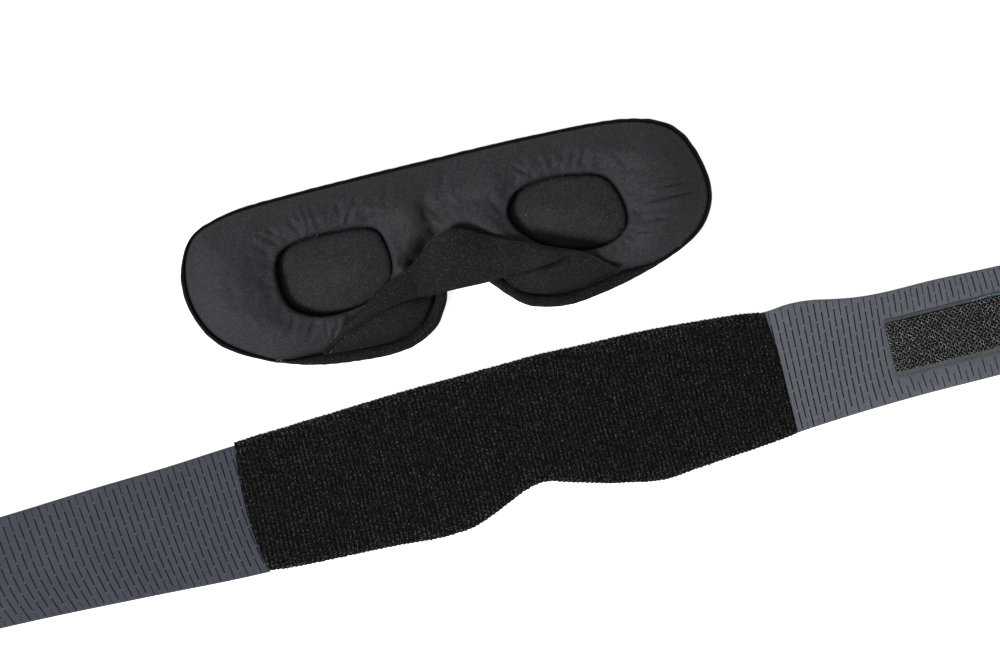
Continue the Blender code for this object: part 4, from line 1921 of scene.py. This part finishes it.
    def roll(self, name: str, start: Point, end: Point, finish: Finish, crown: float, seed: int) -> Object:
        """A rolled edge along a stretch of the mask's outline.

        Args:
            name: the piece's name.
            start: where it starts, clockwise.
            end: where it ends.
            finish: its finish.
            crown: its height above the mask's lowest layer.
            seed: fixes its small unevenness.

        Returns:
            The piece.
        """
        path = self.stretch_of_edge(start, end)
        extended = np.vstack([2 * path[0] - path[1], path, 2 * path[-1] - path[-2]])
        along = extended[2:] - extended[:-2]
        along /= np.linalg.norm(along, axis=1)[:, None]
        inner = np.stack([along[:, 1], -along[:, 0]], axis=1)
        width = self.edge_width(path) + 0.5 - 1.2 * self.cheek(path)
        uneven = 0.1 * ripple(path[:, 0], path[:, 1], 7.0, seed)
        shape = (
            (0.0, 0.25), (-0.02, 0.45), (0.06, 0.68), (0.2, 0.9), (0.38, 1.0), (0.56, 0.94), (0.72, 0.76),
            (0.86, 0.5), (0.95, 0.25), (0.97, 0.05), (0.5, 0.0), (0.04, 0.06),
        )
        sections = []
        for share, rise in shape:
            reach = width * share + uneven * (1 - share)
            spot = path + inner * reach[:, None]
            height = 2.7 + (crown - 2.7) * rise + 0 * reach
            sections.append(self.place(spot[:, 0], spot[:, 1], height))
        rings = np.stack(sections, 1)
        count = len(shape)
        levels = [list(range(i * count, (i + 1) * count)) for i in range(len(rings))]
        faces = [*walls(levels), tuple(levels[0]), tuple(levels[-1])]
        return make_piece(name, rings.reshape(-1, 3), faces, finish.material())

    def edging(self) -> None:
        """The binding round the brow and temples, and the knit bands along the cheeks."""
        top, left_end, right_end = (self.halves_meet, 39.0), (-82.0, -30.2), (88.5, -28.0)
        notch = (3.0, -11.7)
        pieces = (
            ("binding_left", left_end, top, Finish.BINDING, 5.6, self.left, ("binding_wing_left",)),
            (
                "binding_right", top, right_end, Finish.BINDING, 5.6, self.right,
                ("binding_wing_right", "brow_binding"),
            ),
            ("cheek_band_left_knit", notch, (-83.4, -29.7), Finish.KNIT, 5.9, self.left, ("cheek_band_left",)),
            ("cheek_band_right_knit", (90.0, -27.5), notch, Finish.KNIT, 5.9, self.right, ("cheek_band_right",)),
        )
        for seed, (name, start, end, finish, crown, bend, nodes) in enumerate(pieces):
            made = self.roll(name, start, end, finish, crown, seed + 50)
            settle(made, bend, nodes)
        self.frayed_ends()
        log.info("binding and cheek bands")

    def frayed_ends(self) -> None:
        """Loose thread ends along the cheek bands' outer ends and at the left eye well."""
        draw = random.Random(77)
        places, turns, sizes = [], [], []
        ends = ((-81.4, -29.6, 5.4, 34), (-52.0, 19.3, 9.6, 3), (-60.2, -30.0, 6.0, 4), (98.0, -22.2, 5.6, 5))
        for across, up, high, count in ends:
            for _ in range(count):
                x, y = across + draw.uniform(-2.4, 1.8), up + draw.uniform(-1.3, 1.3)
                places.append((x, y, high + draw.uniform(-0.4, 0.6)))
                turns.append((draw.uniform(-1, 1), draw.uniform(-0.6, 0.6), draw.uniform(0, 2 * math.pi)))
                sizes.append(draw.uniform(0.4, 1.0))
        places, turns, sizes = np.array(places), np.array(turns), np.array(sizes)
        thread = Scatter(Bit.THREAD, 2.2, 0.08)
        for end, side, bend in self.halves:
            ours = (places[:, 0] < self.halves_meet) == (side < 0)
            where = self.place(*places[ours].T)
            bend.apply(thread.build("loose_ends_" + end, where, turns[ours], Finish.LOOSE_THREAD, sizes[ours]))

    def back(self) -> None:
        """The knit cover on the mask's back, in two halves, and its edge stitching."""
        rim = even(self.outer + inward(self.outer) * 0.9, 2.0, closed=True)

        def underside(at: Array) -> Array:
            """The height of the cover's outer side at rows of x and y."""
            return self.back_height + self.back_roll * (1 - rounded(distance_to(rim, at), 4.0))

        points, faces = pillow(rim, 3.0, underside, self.back_top)
        cover = make_piece("back_cover_whole", self.place(*points.T), faces, Finish.KNIT.material())
        for end, side, bend in self.halves:
            half = self.half_of(cover, "back_cover_" + end, side)
            settle(half, bend, ["back_cover", "back_cover_" + bend.moving])
        bpy.data.objects.remove(cover)
        seam = self.outer + inward(self.outer) * 4.2
        for end, side, bend in self.halves:
            runs = (seam[:, 0] - self.halves_meet) * side > 0.5
            first = int(np.argmax(runs & ~np.roll(runs, 1)))
            order = np.roll(np.arange(len(seam)), -first)
            line = seam[order][runs[order]]
            bend.apply(stitches("back_stitches_" + end, self.place(*line.T, 1.5), Finish.BLACK_THREAD))
        log.info("back cover")

    def tabs(self) -> None:
        """The hook tabs on the mask's back that grip the headband's loop panel."""
        for name in ("hook_tab_left", "hook_tab_right", "hook_tab_bridge"):
            low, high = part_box(name)
            box = (low.x / MM, high.x / MM, low.y / MM, high.y / MM)
            base = Headband.slab(name + "_base", Headband.oblong(box, 3.0), *self.tab_span, Finish.TAPE, 0.2)
            settle(base, "mask", [name])
            hooks = hook_field(name + "_hooks", shrunk(box, 1.5), z=0.72, pitch=1.35, height=0.62, up=False)
            settle(hooks, "mask")
        log.info("hook tabs")


# ---- nose flap


@dataclass
class NoseFlap:
    """The knit baffle that folds over the bridge and covers the cheek lobes."""

    mask: Mask
    sewn: list[Point] = field(default_factory=lambda: [
        (-62, -31.3), (-52, -32.2), (-38, -32.9), (-28, -32.1), (-19, -28.7), (-13.8, -22.8), (-11.6, -18.2),
        (-8.5, -13.2), (3, -11.9), (16, -13.0), (20.2, -16.8), (23.7, -22.3), (30, -26.8), (41, -29.6), (50, -29.9),
        (59, -28.7), (65.5, -27.1), (69.3, -26.2),
    ])
    fold: list[Point] = field(default_factory=lambda: [
        (-62, -31.0), (-51, -24.6), (-40, -20.6), (-30, -17.6), (-21, -16.3), (-14, -16.6), (-8, -16.8),
        (-3.5, -16.8), (4, -17.0), (12, -17.2), (19, -16.9), (24.5, -16.6), (33, -16.3), (42, -16.0), (49, -15.2),
        (57, -17.6), (64.2, -22.7), (69.2, -26.2),
    ])
    free: list[Point] = field(default_factory=lambda: [
        (-62, -30.7), (-50.6, -23.2), (-41, -16.6), (-30, -9.6), (-19.6, -5.2), (-12.8, -1.3), (-7.6, 2.8),
        (-2.2, 6.0), (4.3, 7.3), (11.2, 5.0), (18.5, 0.9), (26, -2.8), (34, -6.1), (42.2, -10.1), (50.2, -13.4),
        (58.1, -16.7), (65.0, -22.4), (69.3, -25.9),
    ])
    folded: list[float] = field(default_factory=lambda: [
        0, 0.4, 1, 1, 1, 1, 1, 1, 1, 1, 1, 1, 1, 1, 0.45, 0, 0, 0,
    ])
    thickness: float = 1.1
    lie: float = 0.75
    sewn_height: float = 4.4
    ridge_floor: float = 10.6
    tuck: float = 2.6
    peak: float = 4.6
    stations_along: int = 230
    hinge_band: Point = (-34.5, -27.0)

    def build(self) -> None:
        """Makes the flap as one sheet, sewn along the cheeks and free at the bridge."""
        rows = self.section(np.linspace(0.0, len(self.sewn) - 1.0, self.stations_along))
        upper = self.mask.place(rows[..., 0], rows[..., 1], rows[..., 2])
        points, faces = upper.reshape(-1, 3), []
        count, columns = rows.shape[:2]
        for i in range(count - 1):
            for k in range(columns - 1):
                a = i * columns + k
                faces.append((a, a + 1, a + columns + 1, a + columns))
        thin = make_piece("nose_flap_knit", points, faces, Finish.FLAP_KNIT.material())
        solid = thin.modifiers.new("Thickness", "SOLIDIFY")
        solid.thickness = self.thickness * MM
        solid.offset = 0.0
        mesh = bpy.data.meshes.new_from_object(thin.evaluated_get(bpy.context.evaluated_depsgraph_get()))
        thin.modifiers.clear()
        thin.data = mesh
        mesh.shade_smooth()
        start, end = ((0, (self.mask.centre[1] + y) * MM, 0) for y in self.hinge_band)
        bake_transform(thin)
        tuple(start)
        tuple(end)
        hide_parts("nose_flap")
        log.info("nose flap")

    @staticmethod
    def stations(points: list, t: Array) -> Array:
        """Reads a smooth curve at stations along the flap.

        Args:
            points: the curve's points or values, one for each whole station from the left tip.
            t: the stations to read it at.

        Returns:
            A row for each station.
        """
        count = np.arange(len(points), dtype=float)
        values = np.array(points, float).reshape(len(points), -1)
        return np.stack([track(list(zip(count, column)), t) for column in values.T], -1)

    def section(self, t: Array) -> Array:
        """Sections across the flap, from its sewn edge round the fold to its free edge.

        Args:
            t: the stations where the sections are.

        Returns:
            Points as [row, section, xyz] in the mask's own frame.
        """
        sewn, fold, free = (self.stations(p, t) for p in (self.sewn, self.fold, self.free))
        strength = np.clip(self.stations(self.folded, t)[:, 0], 0.0, 1.0)
        tuck = fold + np.stack([0 * t, self.tuck * strength], -1)
        rows = []

        def height(at: Array, hollowed: bool = True) -> Array:
            """The height of the flap's cloth at rows of x and y, where it lies on the cushion."""
            return np.maximum(self.mask.support(at[:, 0], at[:, 1], hollowed), self.mask.seam + 0.2) + self.lie

        for share in (0.0, 0.02, 0.06, 0.12, 0.2, 0.3, 0.4, 0.5, 0.6, 0.68, 0.76, 0.84, 0.92, 1.0):
            at = sewn + (tuck - sewn) * share
            rows.append((at, self.sewn_height + (height(at) - self.sewn_height) * rounded(share, 0.16)))
        pocket = rows[-1][1]
        ridge = np.maximum(height(fold, False), self.ridge_floor) + 1.3 * strength + 1.4 * bell(42.0, 6.0, fold[:, 0])
        for out, rise in ((0.5, 0.12), (0.0, 0.36), (-0.5, 0.6), (-0.5, 0.85)):
            rows.append((fold + np.stack([0 * t, out * 1.6 * strength], -1), pocket + (ridge - pocket) * rise))
        edge = np.maximum(height(free, False), 8.0) + 0.35 + self.peak * bell(3.0, 13.0, free[:, 0]) + 0.7 * strength
        for share in np.linspace(0.05, 1.0, 22):
            at = fold + (free - fold) * share
            arch = strength * np.sin(np.pi * share) * (1.3 + 1.6 * bell(3.0, 16.0, at[:, 0]))
            rows.append((at, ridge + (edge - ridge) * share + arch))
        made = np.stack([np.column_stack([at, z]) for at, z in rows])
        made[..., 2] += 0.16 * ripple(made[..., 0], made[..., 1], 17.0, 13)
        return made


# ---- studio


@dataclass
class Studio:
    """A white table, soft light and a camera that looks straight down.

    The lamp's place and aim and the table's height are in metres.
    """

    view_width: float = 432.0
    aim: Point = (4.3, 45.9)
    roll: float = 14.0
    lens: float = 120.0
    sensor: float = 36.0
    lamp_place: Place = (-4.0, -1.5, 5.0)
    lamp_aim: Place = (0.0, 0.05, 0.0)
    lamp_size: float = 1.9
    lamp_power: float = 525.0
    room_light: float = 0.44
    table_height: float = -0.0003
    table_glow: float = 0.75

    def build(self) -> None:
        """Makes the table, the lights and the camera."""
        self.table()
        self.lights()
        self.camera()
        bpy.context.scene.view_settings.view_transform = "Standard"
        log.info("studio")

    def table(self) -> None:
        """A plain white table top."""
        mesh = bpy.data.meshes.new("table_top")
        corners = [(x, y, self.table_height) for x, y in ((-4, -4), (4, -4), (4, 4), (-4, 4))]
        mesh.from_pydata(corners, [], [(0, 1, 2, 3)])
        table = add_object("table_top", mesh)
        material = bpy.data.materials.new("table_white")
        material.use_nodes = True
        preset(
            material.node_tree.nodes["Principled BSDF"], Base_Color=(0.9, 0.9, 0.9, 1.0), Roughness=1.0,
            Specular_IOR_Level=0.0, Emission_Color=WHITE, Emission_Strength=self.table_glow,
        )
        mesh.materials.append(material)

    def lights(self) -> None:
        """Even white surroundings and one large soft lamp above."""
        world = bpy.data.worlds.new("white_room")
        bpy.context.scene.world = world
        world.use_nodes = True
        preset(world.node_tree.nodes["Background"], Color=WHITE, Strength=self.room_light)
        lamp = bpy.data.lights.new("soft_lamp", "AREA")
        lamp.shape = "DISK"
        lamp.size = self.lamp_size
        lamp.energy = self.lamp_power
        holder = add_object("soft_lamp", lamp)
        holder.location = self.lamp_place
        aim = Vector(self.lamp_aim) - Vector(holder.location)
        holder.rotation_euler = aim.to_track_quat("-Z", "Y").to_euler()

    def camera(self) -> None:
        """A long lens straight above, turned so that the headband runs up to the right."""
        lens = bpy.data.cameras.new("camera")
        lens.lens = self.lens
        lens.sensor_width = self.sensor
        camera = add_object("camera", lens)
        height = self.view_width * MM * self.lens / self.sensor
        camera.location = (self.aim[0] * MM, self.aim[1] * MM, height)
        camera.rotation_euler = (0.0, 0.0, -math.radians(self.roll))
        lens.clip_end = 20.0
        bpy.context.scene.camera = camera


def main() -> None:
    """Builds the object, piece by piece, and the studio round it."""
    logging.basicConfig(level=logging.INFO, format="%(message)s")
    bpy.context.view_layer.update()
    Studio().build()
    Headband().build()
    mask = Mask()
    mask.build()
    NoseFlap(mask).build()


if __name__ == "__main__":
    main()
